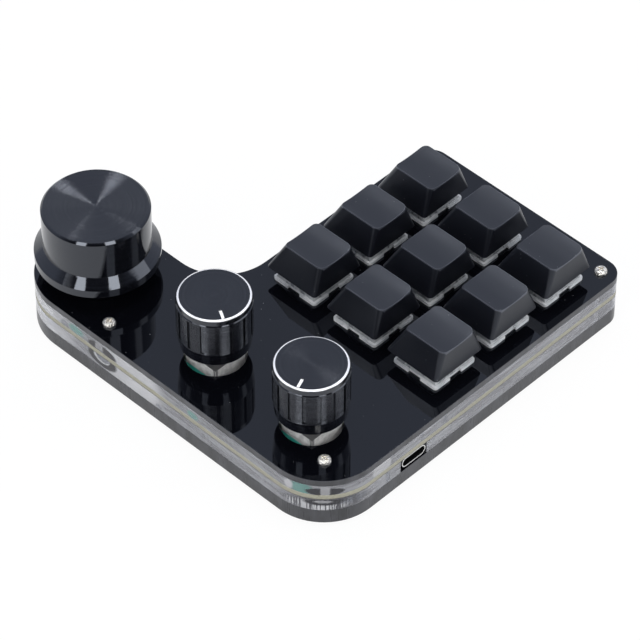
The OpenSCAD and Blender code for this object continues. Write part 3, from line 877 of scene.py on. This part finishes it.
# Painted glimpses in the clear edge: painted light, painted shade and dim painted images of the
# screws, spacers and encoders inside, placed in millimetres.
PAINTED_EDGE_GLIMPSES = (
    Glimpse((58.4, -12.0, 11.0), 11.0, 9.0, PAINTED_LIGHT, 0.9, 0.3),
    Glimpse((58.4, -44.0, 9.5), 9.0, 9.0, PAINTED_LIGHT, 0.6, 0.5),
    Glimpse((37.2, 60.15, 13.5), 3.4, 3.0, PAINTED_LIGHT, 0.7, 0.15),
    Glimpse((58.4, -33.1, 13.4), 2.7, 1.4, TEAL_DIM, 0.9, 0.35),
    Glimpse((58.4, -37.5, 12.6), 1.6, 1.4, GREY_DIM, 0.7, 0.3),
    Glimpse((58.4, 11.5, 13.2), 2.0, 1.2, TEAL_DIM, 0.9, 0.35),
    Glimpse((58.4, 7.1, 12.8), 2.2, 1.1, GREY_DIM, 0.5, 0.4),
    Glimpse((57.4, 50.1, 13.6), 2.9, 2.4, TEAL_DIM, 0.9, 0.3),
    Glimpse((58.6, 46.6, 13.5), 1.4, 1.8, PAINTED_LIGHT, 0.8, 0.3),
    Glimpse((58.4, -23.1, 12.5), 5.4, 2.0, PAINTED_HOLE_SHADE, 1.0, 0.12),
    Glimpse((58.4, -24.2, 12.6), 1.5, 4.0, SHANK_PALE, 0.85, 0.25),
    Glimpse((53.2, 55.1, 13.0), 5.1, 1.4, PAINTED_HOLE_SHADE, 1.0, 0.12),
    Glimpse((53.2, 55.1, 13.4), 1.3, 4.0, SHANK_PALE, 0.9, 0.25),
    Glimpse((58.4, -23.1, 9.3), 5.5, 2.9, PAINTED_HOLE_SHADE, 1.0, 0.12),
    Glimpse((58.4, -23.3, 9.9), 3.1, 2.1, PAINTED_LIGHT, 0.9, 0.1),
    Glimpse((58.4, -22.9, 10.3), 2.7, 1.9, GREY_DIM, 0.9, 0.1),
    Glimpse((52.5, 55.3, 8.2), 11.5, 2.6, PAINTED_DEEP_SHADE, 0.85, 0.3),
    Glimpse((54.6, 53.4, 7.6), 8.5, 1.9, PAINTED_LIGHT, 1.0, 0.3, True),
    Glimpse((53.0, 54.8, 8.9), 5.6, 1.1, PAINTED_HOLE_SHADE, 1.0, 0.2),
    Glimpse((53.4, 54.5, 9.2), 2.4, 0.5, SHANK_PALE, 0.9, 0.3),
    Glimpse((47.0, 59.8, 8.4), 4.0, 1.2, GREY_DIM, 0.8, 0.5, True),
    Glimpse((34.9, 60.15, 8.2), 0.9, 2.0, GREY_DIM, 0.8, 0.4),
    Glimpse((13.3, 60.15, 13.9), 0.7, 1.5, GREY_DIM, 0.6, 0.4),
    Glimpse((22.1, 60.15, 13.9), 0.6, 1.6, GREY_DIM, 0.6, 0.4),
    Glimpse((58.4, -1.4, 7.0), 1.1, 0.7, GREY_DIM, 0.8, 0.4),
)
CLEAR_EDGE = ClearAcrylic(
    "clear_acrylic_cut",
    "clear_acrylic",
    (0.56, 0.57, 0.6),
    0.03,
    ior=1.49,
    clear=0.6,
    shade=(0.34, 0.34, 0.365),
    glimpses=PAINTED_EDGE_GLIMPSES,
)
CLEAR_FACE = ClearAcrylic(
    "clear_acrylic_face", "clear_acrylic", (0.96, 0.97, 0.98), 0.01, ior=1.49, clear=0.97
)
BOARD_EDGE = BoardEdge("board_cut", "board", (0.36, 0.345, 0.26), 0.5)
BOARD_FACE = BoardFace("board_lacquer", "board", (0.72, 0.73, 0.74), 0.35)
FOOT_RUBBER = GrainedPlastic(
    "foot_rubber", "rubber", (0.02, 0.02, 0.021), 0.75, grain_mm=0.3, depth_mm=0.02
)
BRIGHT_NICKEL = SheetMetal(
    "bright_nickel",
    "bright_nickel",
    (0.83, 0.8, 0.74),
    0.12,
    metallic=1.0,
    mark=(2.0, 2.0, 2.0),
    relief_mm=1.3,
)
PLATED_SHEET = CanSheet("plated_sheet", "plated_steel", (0.93, 0.92, 0.89), 0.3, metallic=0.15)
# Painted shade: the can's roof is a darker copy of the plated steel, for the knob's shadow over it.
SHADED_CAN_ROOF = SheetMetal("plated_roof", "plated_steel", (0.25, 0.25, 0.25), 0.35, metallic=0.6)
SOCKET_STEEL = SheetMetal(
    "socket_steel", "plated_steel", (0.78, 0.78, 0.77), 0.18, metallic=1.0, mark=(0.5, 6.0, 0.5)
)
# Painted shade: the shell's inside is a dark copy of the socket steel, for the shade in its hollow.
SOCKET_INSIDE_SHADE = SheetMetal("socket_inside", "plated_steel", (0.05, 0.05, 0.052), 0.4, metallic=1.0)
SWITCH_GREY = MilkyPlastic(
    "switch_housing", "switch_grey", (0.92, 0.93, 0.94), 0.3, deep=(0.72, 0.74, 0.76)
)
SWITCH_MILKY = MilkyPlastic(
    "switch_cover", "switch_milky", (0.66, 0.68, 0.7), 0.28, clear=0.35, deep=(0.42, 0.44, 0.46)
)
CONTACT_METAL = SheetMetal("contact_metal", "contact_brass", (0.8, 0.66, 0.38), 0.25, metallic=1.0)
DARK_MOULDING = GrainedPlastic("dark_moulding", "dark_plastic", (0.022, 0.022, 0.024), 0.5)
TEAL_MOULDING = GrainedPlastic(
    "teal_moulding", "encoder_teal", (0.08, 0.62, 0.52), 0.42, grain_mm=0.3
)
KEY_PLASTIC = RubbedKey(
    "key_plastic", "keycap_black", (0.0045, 0.005, 0.0078), 0.34, gloss=COOL, ior=1.54, shine=0.05
)
STEM_PLASTIC = GrainedPlastic("stem_plastic", "stem_red", (0.38, 0.02, 0.025), 0.3)
SPRING_WIRE = SheetMetal("spring_wire", "spring_steel", (0.66, 0.66, 0.64), 0.2, metallic=1.0)
PLUNGER_PLASTIC = GrainedPlastic("plunger_plastic", "plunger_white", (0.72, 0.7, 0.66), 0.4)
SHAFT_METAL = SheetMetal(
    "shaft_metal", "shaft_metal", (0.7, 0.7, 0.68), 0.22, metallic=1.0, mark=(0.6, 0.6, 6.0)
)
SCREW_BLACKED = SheetMetal("blackened_steel", "dark_steel", (0.12, 0.12, 0.12), 0.35, metallic=1.0)
KNOB_BLACK = TurnedMetal("knob_black", "knob_black", (0.0028, 0.003, 0.0042), ior=1.62, gloss=COOL)
RIM_BRIGHT = CutRim("diamond_cut_rim", "knob_black", (0.96, 0.96, 0.98), 0.3, metallic=0.45)
POINTER_PAINT = GrainedPlastic(
    "pointer_paint", "knob_black", (0.86, 0.86, 0.86), 0.45, grain_mm=0.1
)


# ------------------------------------------------------------------ workshop


@dataclass
class Workshop:
    """Turns frame nodes into finished pieces that ride on their bodies.

    Points nearer than weld_mm become one, slivers under sliver_mm go, faces that meet within flat
    degrees are joined, and edges that bend by more than crisp degrees stay sharp in the shading.
    """

    frame: Mapping[str, Any]
    weld_mm: float = 0.002
    sliver_mm: float = 0.001
    flat: float = 0.6
    crisp: float = 35.0
    made: list[str] = field(default_factory=list)

    def centre(self, node: str) -> Vector:
        """The middle of a node's box, in millimetres."""
        low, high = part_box(node)
        return (low + high) / 2 / MM

    def merged(self, node: str) -> bmesh.types.BMesh:
        """Copies a node's loose triangles into one joined mesh with whole flat faces.

        Args:
            node: the frame node.

        Returns:
            The joined mesh, in metres.
        """
        mesh = bmesh.new()
        mesh.from_mesh(self.frame["nodes"][node].data)
        bmesh.ops.remove_doubles(mesh, verts=mesh.verts, dist=self.weld_mm * MM)
        bmesh.ops.dissolve_degenerate(mesh, edges=mesh.edges, dist=self.sliver_mm * MM)
        bmesh.ops.dissolve_limit(
            mesh,
            angle_limit=math.radians(self.flat),
            verts=mesh.verts,
            edges=mesh.edges,
            delimit={"NORMAL"},
        )
        return mesh

    @staticmethod
    def round_off(
        mesh: bmesh.types.BMesh,
        edges: Sequence[bmesh.types.BMEdge],
        width: float,
        segments: int,
    ) -> None:
        """Rounds some edges.

        Args:
            mesh: the mesh to change.
            edges: its edges to round.
            width: the rounding's width.
            segments: its steps.
        """
        if edges:
            bmesh.ops.bevel(
                mesh,
                geom=edges,
                offset=width * MM,
                offset_type="OFFSET",
                affect="EDGES",
                segments=segments,
                profile=0.5,
                material=-1,
                clamp_overlap=True,
            )

    def soften(
        self, mesh: bmesh.types.BMesh, width: float, segments: int = 2, over: float = 30.0
    ) -> None:
        """Rounds the sharp edges.

        Args:
            mesh: the mesh to change.
            width: the rounding's width.
            segments: its steps.
            over: only edges that bend by more degrees than this are rounded.
        """
        limit = math.radians(over)
        edges = [e for e in mesh.edges if e.is_manifold and e.calc_face_angle(0.0) > limit]
        self.round_off(mesh, edges, width, segments)

    def finish(
        self,
        mesh: bmesh.types.BMesh,
        node: str,
        finishes: Sequence[Finish],
        pick: Picker | None = None,
    ) -> bpy.types.Object:
        """Paints a mesh and makes it the piece that stands for a node.

        Args:
            mesh: the mesh in metres, freed here.
            node: the frame node.
            finishes: the finishes that pick chooses from.
            pick: gives a face's finish from its centre in millimetres and its normal.

        Returns:
            The piece.
        """
        limit = math.radians(self.crisp)
        for face in mesh.faces:
            face.smooth = True
            if pick is not None:
                face.material_index = pick(face.calc_center_median() / MM, face.normal)
        for edge in mesh.edges:
            edge.smooth = not edge.is_manifold or edge.calc_face_angle(0.0) <= limit
        name = f"{node}_dressed"
        data = bpy.data.meshes.new(name)
        mesh.to_mesh(data)
        mesh.free()
        piece = bpy.data.objects.new(name, data)
        bpy.context.scene.collection.objects.link(piece)
        for item in finishes:
            data.materials.append(item.material())
        weighted = piece.modifiers.new("even_shading", "WEIGHTED_NORMAL")
        weighted.keep_sharp = True
        weighted.mode = "FACE_AREA"
        body = str(self.frame["nodes"][node]["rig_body"])
        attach(piece, body)
        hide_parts(node)
        self.made.append(name)
        LOG.info("%s rides on %s with %d faces", name, body, len(data.polygons))
        return piece

    def dress(
        self,
        node: str,
        finishes: Sequence[Finish],
        width: float,
        segments: int = 2,
        pick: Picker | None = None,
        over: float = 30.0,
    ) -> bpy.types.Object:
        """Makes a softened, painted copy of a node that stands for it.

        Args:
            node: the frame node.
            finishes: the finishes that pick chooses from.
            width: the rounding of its edges.
            segments: the rounding's steps.
            pick: gives a face's finish.
            over: only edges that bend by more degrees than this are rounded.

        Returns:
            The piece.
        """
        mesh = self.merged(node)
        self.soften(mesh, width, segments, over)
        return self.finish(mesh, node, finishes, pick)


# ------------------------------------------------------------------ sub-assemblies


@dataclass
class PlateStack:
    """The stack of acrylic plates round the board, on its rubber feet."""

    shop: Workshop
    edge_round: float = 0.14
    foot_round: float = 0.15
    air: float = 0.02
    level: float = 0.7

    def build(self) -> None:
        """Dresses every layer and the feet."""
        self.plate("top_plate", (PLATE_FACE, PLATE_EDGE))
        self.plate("base_plate", (PLATE_FACE, BASE_EDGE))
        self.plate("circuit_board", (BOARD_FACE, BOARD_EDGE))
        for node in ("upper_clear_frame", "lower_clear_frame"):
            self.clear_layer(node)
        self.shop.dress("rubber_feet", (FOOT_RUBBER,), self.foot_round)

    def by_slope(self, at: Vector, normal: Vector) -> int:
        """Picks the first finish for level faces and the second for upright ones."""
        return 0 if abs(normal.z) > self.level else 1

    def plate(self, node: str, finishes: Sequence[Finish]) -> None:
        """Dresses a solid plate with one finish for its faces and one for its cut edge."""
        self.shop.dress(node, finishes, self.edge_round, pick=self.by_slope)

    def clear_layer(self, node: str) -> None:
        """Dresses a clear frame, with a film of air above and below it.

        Args:
            node: the frame's node.
        """
        mesh = self.shop.merged(node)
        low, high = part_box(node)
        middle = (low.z + high.z) / 2
        for vert in mesh.verts:
            vert.co.z += -self.air * MM if vert.co.z > middle else self.air * MM
        self.shop.finish(mesh, node, (CLEAR_FACE, CLEAR_EDGE), self.by_slope)


@dataclass
class Fasteners:
    """Plate screws, nuts and spacer sleeves."""

    shop: Workshop
    edge_round: float = 0.08

    def build(self) -> None:
        """Dresses the metal small parts."""
        for node in ("plate_screws", "plate_nuts", "upper_spacers", "lower_spacers"):
            self.shop.dress(node, (BRIGHT_NICKEL,), self.edge_round)


@dataclass
class KeyField:
    """The nine switches with their sloped keycaps.

    The middle of a cap's top lies top_shift behind the middle of its box. A flange's corner is
    found within corner_reach past flange_half from the key's axis.
    """

    shop: Workshop
    keys: range = range(1, 10)
    cap_round: float = 0.22
    cap_steps: int = 4
    cap_over: float = 38.0
    top_shift: float = 1.52
    cover_round: float = 0.2
    contact_round: float = 0.04
    stem_round: float = 0.1
    base_round: float = 0.12
    flange_half: float = 7.6
    corner_reach: float = 0.4
    corner_round: float = 0.9
    corner_steps: int = 4
    travel: float = 4.0

    def build(self) -> None:
        """Dresses housings, covers, contacts, caps, stems and springs."""
        self.bases()
        self.shop.dress("switch_covers", (SWITCH_MILKY,), self.cover_round)
        self.shop.dress("switch_contacts", (CONTACT_METAL,), self.contact_round)
        for k in self.keys:
            self.cap(k)
            self.shop.dress(f"key_stem_{k}", (STEM_PLASTIC,), self.stem_round)
            self.spring(k)

    def bases(self) -> None:
        """Dresses the housings, with rounder corners on their flanges."""
        mesh = self.shop.merged("switch_bases")
        centres = [self.shop.centre(f"keycap_{k}") for k in self.keys]
        reach = self.flange_half + self.corner_reach

        def at_corner(vert: bmesh.types.BMVert) -> bool:
            """Tells whether a point is at a flange's corner.

            Args:
                vert: the point.

            Returns:
                Whether it is.
            """
            at = vert.co / MM
            return any(
                self.flange_half < abs(at.x - c.x) < reach
                and self.flange_half < abs(at.y - c.y) < reach
                for c in centres
            )

        corners = [e for e in mesh.edges if all(at_corner(v) for v in e.verts)]
        LOG.info("%d flange corners", len(corners))
        self.shop.round_off(mesh, corners, self.corner_round, self.corner_steps)
        self.shop.soften(mesh, self.base_round)
        self.shop.finish(mesh, "switch_bases", (SWITCH_GREY,))

    def cap(self, k: int) -> None:
        """Dresses one keycap with rounded upper edges.

        Args:
            k: the key's number.
        """
        middle = self.shop.centre(f"keycap_{k}")
        top = (middle.x, middle.y + self.top_shift)
        # Each cap has its own material, for its painted edge highlight centred on its top.
        rubbed = replace(KEY_PLASTIC, name=f"key_plastic_{k}", centre=top)
        round_by = (self.cap_round, self.cap_steps)
        self.shop.dress(f"keycap_{k}", (rubbed,), *round_by, over=self.cap_over)

    def spring(self, k: int) -> None:
        """Dresses one spring, which rides on its stem, and gives it a mesh of its own.

        Args:
            k: the key's number.
        """
        node = f"key_spring_{k}"
        piece = self.shop.finish(self.shop.merged(node), node, (SPRING_WIRE,))
        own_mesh(piece)


class CanPart(IntEnum):
    """The parts of an encoder can, in the order of their finishes."""

    WALL = 0
    ROOF = 1
    LEDGE = 2


@dataclass
class Encoders:
    """The three encoders under the knobs."""

    shop: Workshop
    knobs: tuple[str, ...] = ("back", "middle", "front")
    base_round: float = 0.15
    can_round: float = 0.1
    pin_round: float = 0.08
    shaft_round: float = 0.12
    plunger_round: float = 0.08
    ledge_level: float = 14.85
    ledge_facing: float = 0.6
    roof_level: float = 18.2
    roof_facing: float = 0.7

    def build(self) -> None:
        """Dresses bases, cans, pins, shafts and plungers."""
        self.shop.dress("encoder_bases", (TEAL_MOULDING,), self.base_round)
        self.cans()
        self.shop.dress("encoder_pins", (BRIGHT_NICKEL,), self.pin_round)
        for k in self.knobs:
            self.shop.dress(f"{k}_shaft", (SHAFT_METAL,), self.shaft_round)
            self.shop.dress(f"{k}_plunger", (PLUNGER_PLASTIC,), self.plunger_round)

    def cans(self) -> None:
        """Dresses the sheet cans, with the plastic ledge showing low on two of their sides."""
        mesh = self.shop.merged("encoder_cans")
        bmesh.ops.bisect_plane(
            mesh,
            geom=[*mesh.verts, *mesh.edges, *mesh.faces],
            plane_co=(0.0, 0.0, self.ledge_level * MM),
            plane_no=(0.0, 0.0, 1.0),
        )
        self.shop.soften(mesh, self.can_round)
        self.shop.finish(mesh, "encoder_cans", (PLATED_SHEET, SHADED_CAN_ROOF, TEAL_MOULDING), self.part)

    def part(self, at: Vector, normal: Vector) -> int:
        """Tells which part of a can a face belongs to.

        Args:
            at: the face's centre.
            normal: its normal.

        Returns:
            The number of its finish.
        """
        if at.z < self.ledge_level and abs(normal.x) > self.ledge_facing:
            return CanPart.LEDGE
        # Roof faces take the painted-shade copy of the plated steel.
        roof = normal.z > self.roof_facing and at.z > self.roof_level
        return CanPart.ROOF if roof else CanPart.WALL


class KnobPart(IntEnum):
    """The parts of a small knob, in the order of their finishes."""

    FACE = 0
    RIM = 1
    POINTER = 2
    WALL = 3
    GRIP = 4


@dataclass
class SmallKnob:
    """A grooved knob with a bright diamond-cut rim and a white pointer line."""

    shop: Workshop
    name: str
    edge_round: float = 0.09
    edge_over: float = 20.0
    screw_round: float = 0.06
    rim_radius: float = 9.3
    rim_depth: float = 0.46
    rim_slope: Pair = (0.3, 0.97)
    face_depth: float = 0.01
    face_slope: float = 0.9
    pointer_depth: float = 0.4
    grip_low: float = 28.0
    grip_high: float = 36.5

    def build(self) -> None:
        """Dresses the knob, its pointer line and its set screw."""
        node = f"{self.name}_knob"
        centre = self.shop.centre(node)
        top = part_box(node)[1].z / MM
        black = replace(KNOB_BLACK, centre=(centre.x, centre.y))
        side = replace(black, turning=Turning.WALL)
        face = replace(black, name=f"{node}_face", roughness=0.14, tilt=0.085, band=0.2)
        wall = replace(side, name=f"{node}_wall", roughness=0.07, tilt=0.045)
        grip = replace(side, name=f"{node}_grip", roughness=0.14, tilt=1.2, bite=True)

        def part(at: Vector, normal: Vector) -> int:
            """Tells which part of the knob a face belongs to.

            Args:
                at: the face's centre.
                normal: its normal.

            Returns:
                The number of its finish.
            """
            reach = math.hypot(at.x - centre.x, at.y - centre.y)
            steepest, flattest = self.rim_slope
            outer = at.z > top - self.rim_depth and reach > self.rim_radius
            if outer and steepest < normal.z < flattest:
                return KnobPart.RIM
            if normal.z > self.face_slope and at.z > top - self.face_depth:
                return KnobPart.FACE
            if at.z > top - self.pointer_depth and reach < self.rim_radius:
                return KnobPart.POINTER
            return KnobPart.GRIP if self.grip_low < at.z < self.grip_high else KnobPart.WALL

        mesh = self.shop.merged(node)
        self.shop.soften(mesh, self.edge_round, over=self.edge_over)
        self.shop.finish(mesh, node, (face, RIM_BRIGHT, POINTER_PAINT, wall, grip), part)
        self.shop.dress(f"{node}_screw", (SCREW_BLACKED,), self.screw_round)


@dataclass
class LargeKnob:
    """The large turned knob with a flared foot."""

    shop: Workshop
    node: str = "front_knob"
    edge_round: float = 0.1
    edge_over: float = 20.0
    screw_round: float = 0.06
    face_slope: float = 0.95

    def build(self) -> None:
        """Dresses the knob and its set screw."""
        centre = self.shop.centre(self.node)
        black = replace(KNOB_BLACK, centre=(centre.x, centre.y))
        face = replace(
            black, name="large_knob_face", roughness=0.09, tilt=0.2, lean=-0.045, band=0.12
        )
        wall = replace(
            black, name="large_knob_wall", roughness=0.06, tilt=0.03, turning=Turning.WALL
        )
        mesh = self.shop.merged(self.node)
        self.shop.soften(mesh, self.edge_round, over=self.edge_over)
        self.shop.finish(mesh, self.node, (face, wall), self.by_slope)
        self.shop.dress(f"{self.node}_screw", (SCREW_BLACKED,), self.screw_round)

    def by_slope(self, at: Vector, normal: Vector) -> int:
        """Picks the first finish for the level top and the second for the rest."""
        return 0 if normal.z > self.face_slope else 1


@dataclass
class CableSocket:
    """The cable socket's shell and tongue, and the small parts under the board."""

    shop: Workshop
    shell_round: float = 0.05
    tongue_round: float = 0.08
    chip_round: float = 0.1
    rim_mm: float = 0.2
    inward: float = 0.01

    def build(self) -> None:
        """Dresses the socket and the board's parts."""
        low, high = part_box("socket_shell")
        middle = (low + high) / 2 / MM
        reach = 3 * (high.z - low.z) / 2 / MM

        def inside(at: Vector, normal: Vector) -> int:
            """Tells the shell's inside, painted dark as shade, from its outside.

            Args:
                at: the face's centre.
                normal: its normal.

            Returns:
                1 for the inside and 0 for the outside.
            """
            towards = Vector((middle.x - at.x, 0.0, middle.z - at.z))
            deep = at.y < high.y / MM - self.rim_mm
            return int(deep and towards.length < reach and normal.dot(towards) > self.inward)

        steel = (SOCKET_STEEL, SOCKET_INSIDE_SHADE)
        self.shop.dress("socket_shell", steel, self.shell_round, pick=inside)
        self.shop.dress("socket_tongue", (DARK_MOULDING,), self.tongue_round)
        self.shop.dress("controller_chip", (DARK_MOULDING,), self.chip_round)
        self.shop.dress("diodes", (DARK_MOULDING,), self.chip_round)


# ------------------------------------------------------------------ studio


def direction(azimuth: float, elevation: float) -> Vector:
    """The unit vector from the object towards an azimuth and an elevation in degrees."""
    a, e = math.radians(azimuth), math.radians(elevation)
    return Vector((math.cos(e) * math.cos(a), math.cos(e) * math.sin(a), math.sin(e)))


@dataclass(frozen=True)
class SoftBox:
    """A rectangular studio lamp, in metres, placed by angles seen from the object."""

    name: str
    azimuth: float
    elevation: float
    distance: float
    width: float
    height: float
    radiance: float

    def build(self, aim: Vector) -> None:
        """Makes the lamp.

        Args:
            aim: the point that it faces, in metres.
        """
        data = bpy.data.lights.new(self.name, "AREA")
        data.shape = "RECTANGLE"
        data.size = self.width
        data.size_y = self.height
        data.energy = self.radiance * math.pi * self.width * self.height
        lamp = bpy.data.objects.new(self.name, data)
        way = direction(self.azimuth, self.elevation)
        lamp.location = aim + way * self.distance
        lamp.rotation_euler = way.to_track_quat("Z", "Y").to_euler()
        bpy.context.scene.collection.objects.link(lamp)


@dataclass
class Studio:
    """Pale floor, soft lamps and the photograph's camera.

    The surround is bright all round and dim towards one side, where the plates mirror it, and
    patch gives the cosines between which it dims.
    """

    focal: float = 223.97
    sensor: float = 36.0
    clip_m: Pair = (0.05, 20.0)
    eye: Triple = (547.7, 533.6, 778.5)
    right: Triple = (-0.69813, 0.71597, 0.00170)
    up: Triple = (-0.51052, -0.49946, 0.69993)
    aim: Triple = (0.0, 0.0, 20.0)
    sky: Colour = (0.84, 0.9, 1.06)
    bright: float = 0.66
    dim: float = 0.03
    dark_azimuth: float = 44.3
    dark_elevation: float = 34.0
    patch: Pair = (0.3, 0.85)
    floor_m: float = 3.0
    floor_colour: Colour = (0.86, 0.86, 0.86)
    floor_rough: float = 0.9
    floor_glow: float = 0.94
    mirrored_glow: float = 0.7
    lamps: tuple[SoftBox, ...] = (
        SoftBox("left_strip", 12.0, 42.0, 1.6, 0.4, 0.75, 6.6),
        SoftBox("right_strip", 73.0, 42.0, 1.6, 0.43, 0.75, 6.6),
        SoftBox("far_left_box", 250.3, 61.2, 1.73, 0.14, 0.2, 14.0),
        SoftBox("far_right_box", 209.8, 57.2, 1.71, 0.13, 0.2, 14.0),
        SoftBox("overhead_box", 44.0, 88.0, 1.6, 0.9, 0.9, 3.5),
        SoftBox("right_side_box", 132.0, 42.0, 2.2, 0.5, 0.8, 3.0),
        SoftBox("left_side_box", -42.0, 43.0, 2.2, 0.5, 0.8, 1.8),
        SoftBox("left_fill", 2.0, 17.0, 2.2, 1.3, 1.0, 1.8),
        SoftBox("right_fill", 118.0, 17.0, 2.2, 1.6, 1.0, 1.8),
        SoftBox("left_wing", 195.0, 47.0, 2.0, 0.8, 1.0, 0.4),
        SoftBox("right_wing", 254.0, 47.0, 2.0, 0.8, 1.0, 0.4),
    )

    def build(self) -> None:
        """Sets up camera, world, floor and lamps."""
        self.camera()
        self.world()
        self.floor()
        for lamp in self.lamps:
            lamp.build(Vector(self.aim) * MM)
        bpy.context.scene.view_settings.view_transform = "Standard"

    def camera(self) -> None:
        """Places the camera where the photograph was taken from."""
        data = bpy.data.cameras.new("photo_camera")
        data.lens = self.focal
        data.sensor_width = self.sensor
        data.clip_start, data.clip_end = self.clip_m
        made = bpy.data.objects.new("photo_camera", data)
        right, up = Vector(self.right).normalized(), Vector(self.up).normalized()
        back = right.cross(up).normalized()
        up = back.cross(right)
        turn = Matrix((right, up, back)).transposed().to_4x4()
        made.matrix_world = Matrix.Translation(Vector(self.eye) * MM) @ turn
        bpy.context.scene.collection.objects.link(made)
        bpy.context.scene.camera = made

    def world(self) -> None:
        """Makes a cool surround that lights the object, white where the camera looks at it."""
        made = bpy.data.worlds.new("studio")
        bpy.context.scene.world = made
        made.use_nodes = True
        g = Nodes(made.node_tree)
        way = g.node("ShaderNodeTexCoord", output="Generated")
        dark = tuple(direction(self.dark_azimuth, self.dark_elevation))
        product = {"operation": "DOT_PRODUCT"}
        nearness = g.node("ShaderNodeVectorMath", product, {0: way, 1: dark}, "Value")
        strength = nearness.ramp(*self.patch, self.bright, self.dim)
        around = {"Color": self.sky, "Strength": strength}
        shaders = {
            0: g.ray("Is Camera Ray"),
            1: g.node("ShaderNodeBackground", inputs=around),
            2: g.node("ShaderNodeBackground", inputs={"Color": (1.0, 1.0, 1.0)}),
        }
        out = g.tree.nodes.new("ShaderNodeOutputWorld")
        g.feed(out.inputs["Surface"], g.node("ShaderNodeMixShader", inputs=shaders))

    def floor(self) -> None:
        """Makes a pale floor that keeps a soft shadow and shows pale in gloss and clear parts."""
        mesh = bmesh.new()
        bmesh.ops.create_grid(mesh, x_segments=1, y_segments=1, size=self.floor_m / 2)
        data = bpy.data.meshes.new("floor")
        mesh.to_mesh(data)
        mesh.free()
        made = bpy.data.objects.new("floor", data)
        bpy.context.scene.collection.objects.link(made)
        g = Graph("floor_white")
        g.set("Base Color", self.floor_colour)
        g.set("Roughness", self.floor_rough)
        straight = g.ray("Is Camera Ray") + g.ray("Is Transmission Ray")
        seen = (straight + self.mirrored_glow * g.ray("Is Glossy Ray")).least(1.0)
        shaders = {
            0: seen * self.floor_glow,
            1: Socket(g, g.shader.outputs[0]),
            2: g.node("ShaderNodeEmission"),
        }
        g.feed(g.out.inputs["Surface"], g.node("ShaderNodeMixShader", inputs=shaders))
        data.materials.append(g.material)


def main() -> None:
    """Builds the keypad's looks and the studio in order."""
    logging.basicConfig(level=logging.INFO, format="%(name)s: %(message)s")
    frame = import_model()
    shop = Workshop(frame)
    PlateStack(shop).build()
    Fasteners(shop).build()
    KeyField(shop).build()
    Encoders(shop).build()
    SmallKnob(shop, "back").build()
    SmallKnob(shop, "middle").build()
    LargeKnob(shop).build()
    CableSocket(shop).build()
    Studio().build()
    bpy.context.view_layer.update()
    LOG.info("%d pieces made", len(shop.made))


if __name__ == "__main__":
    main()
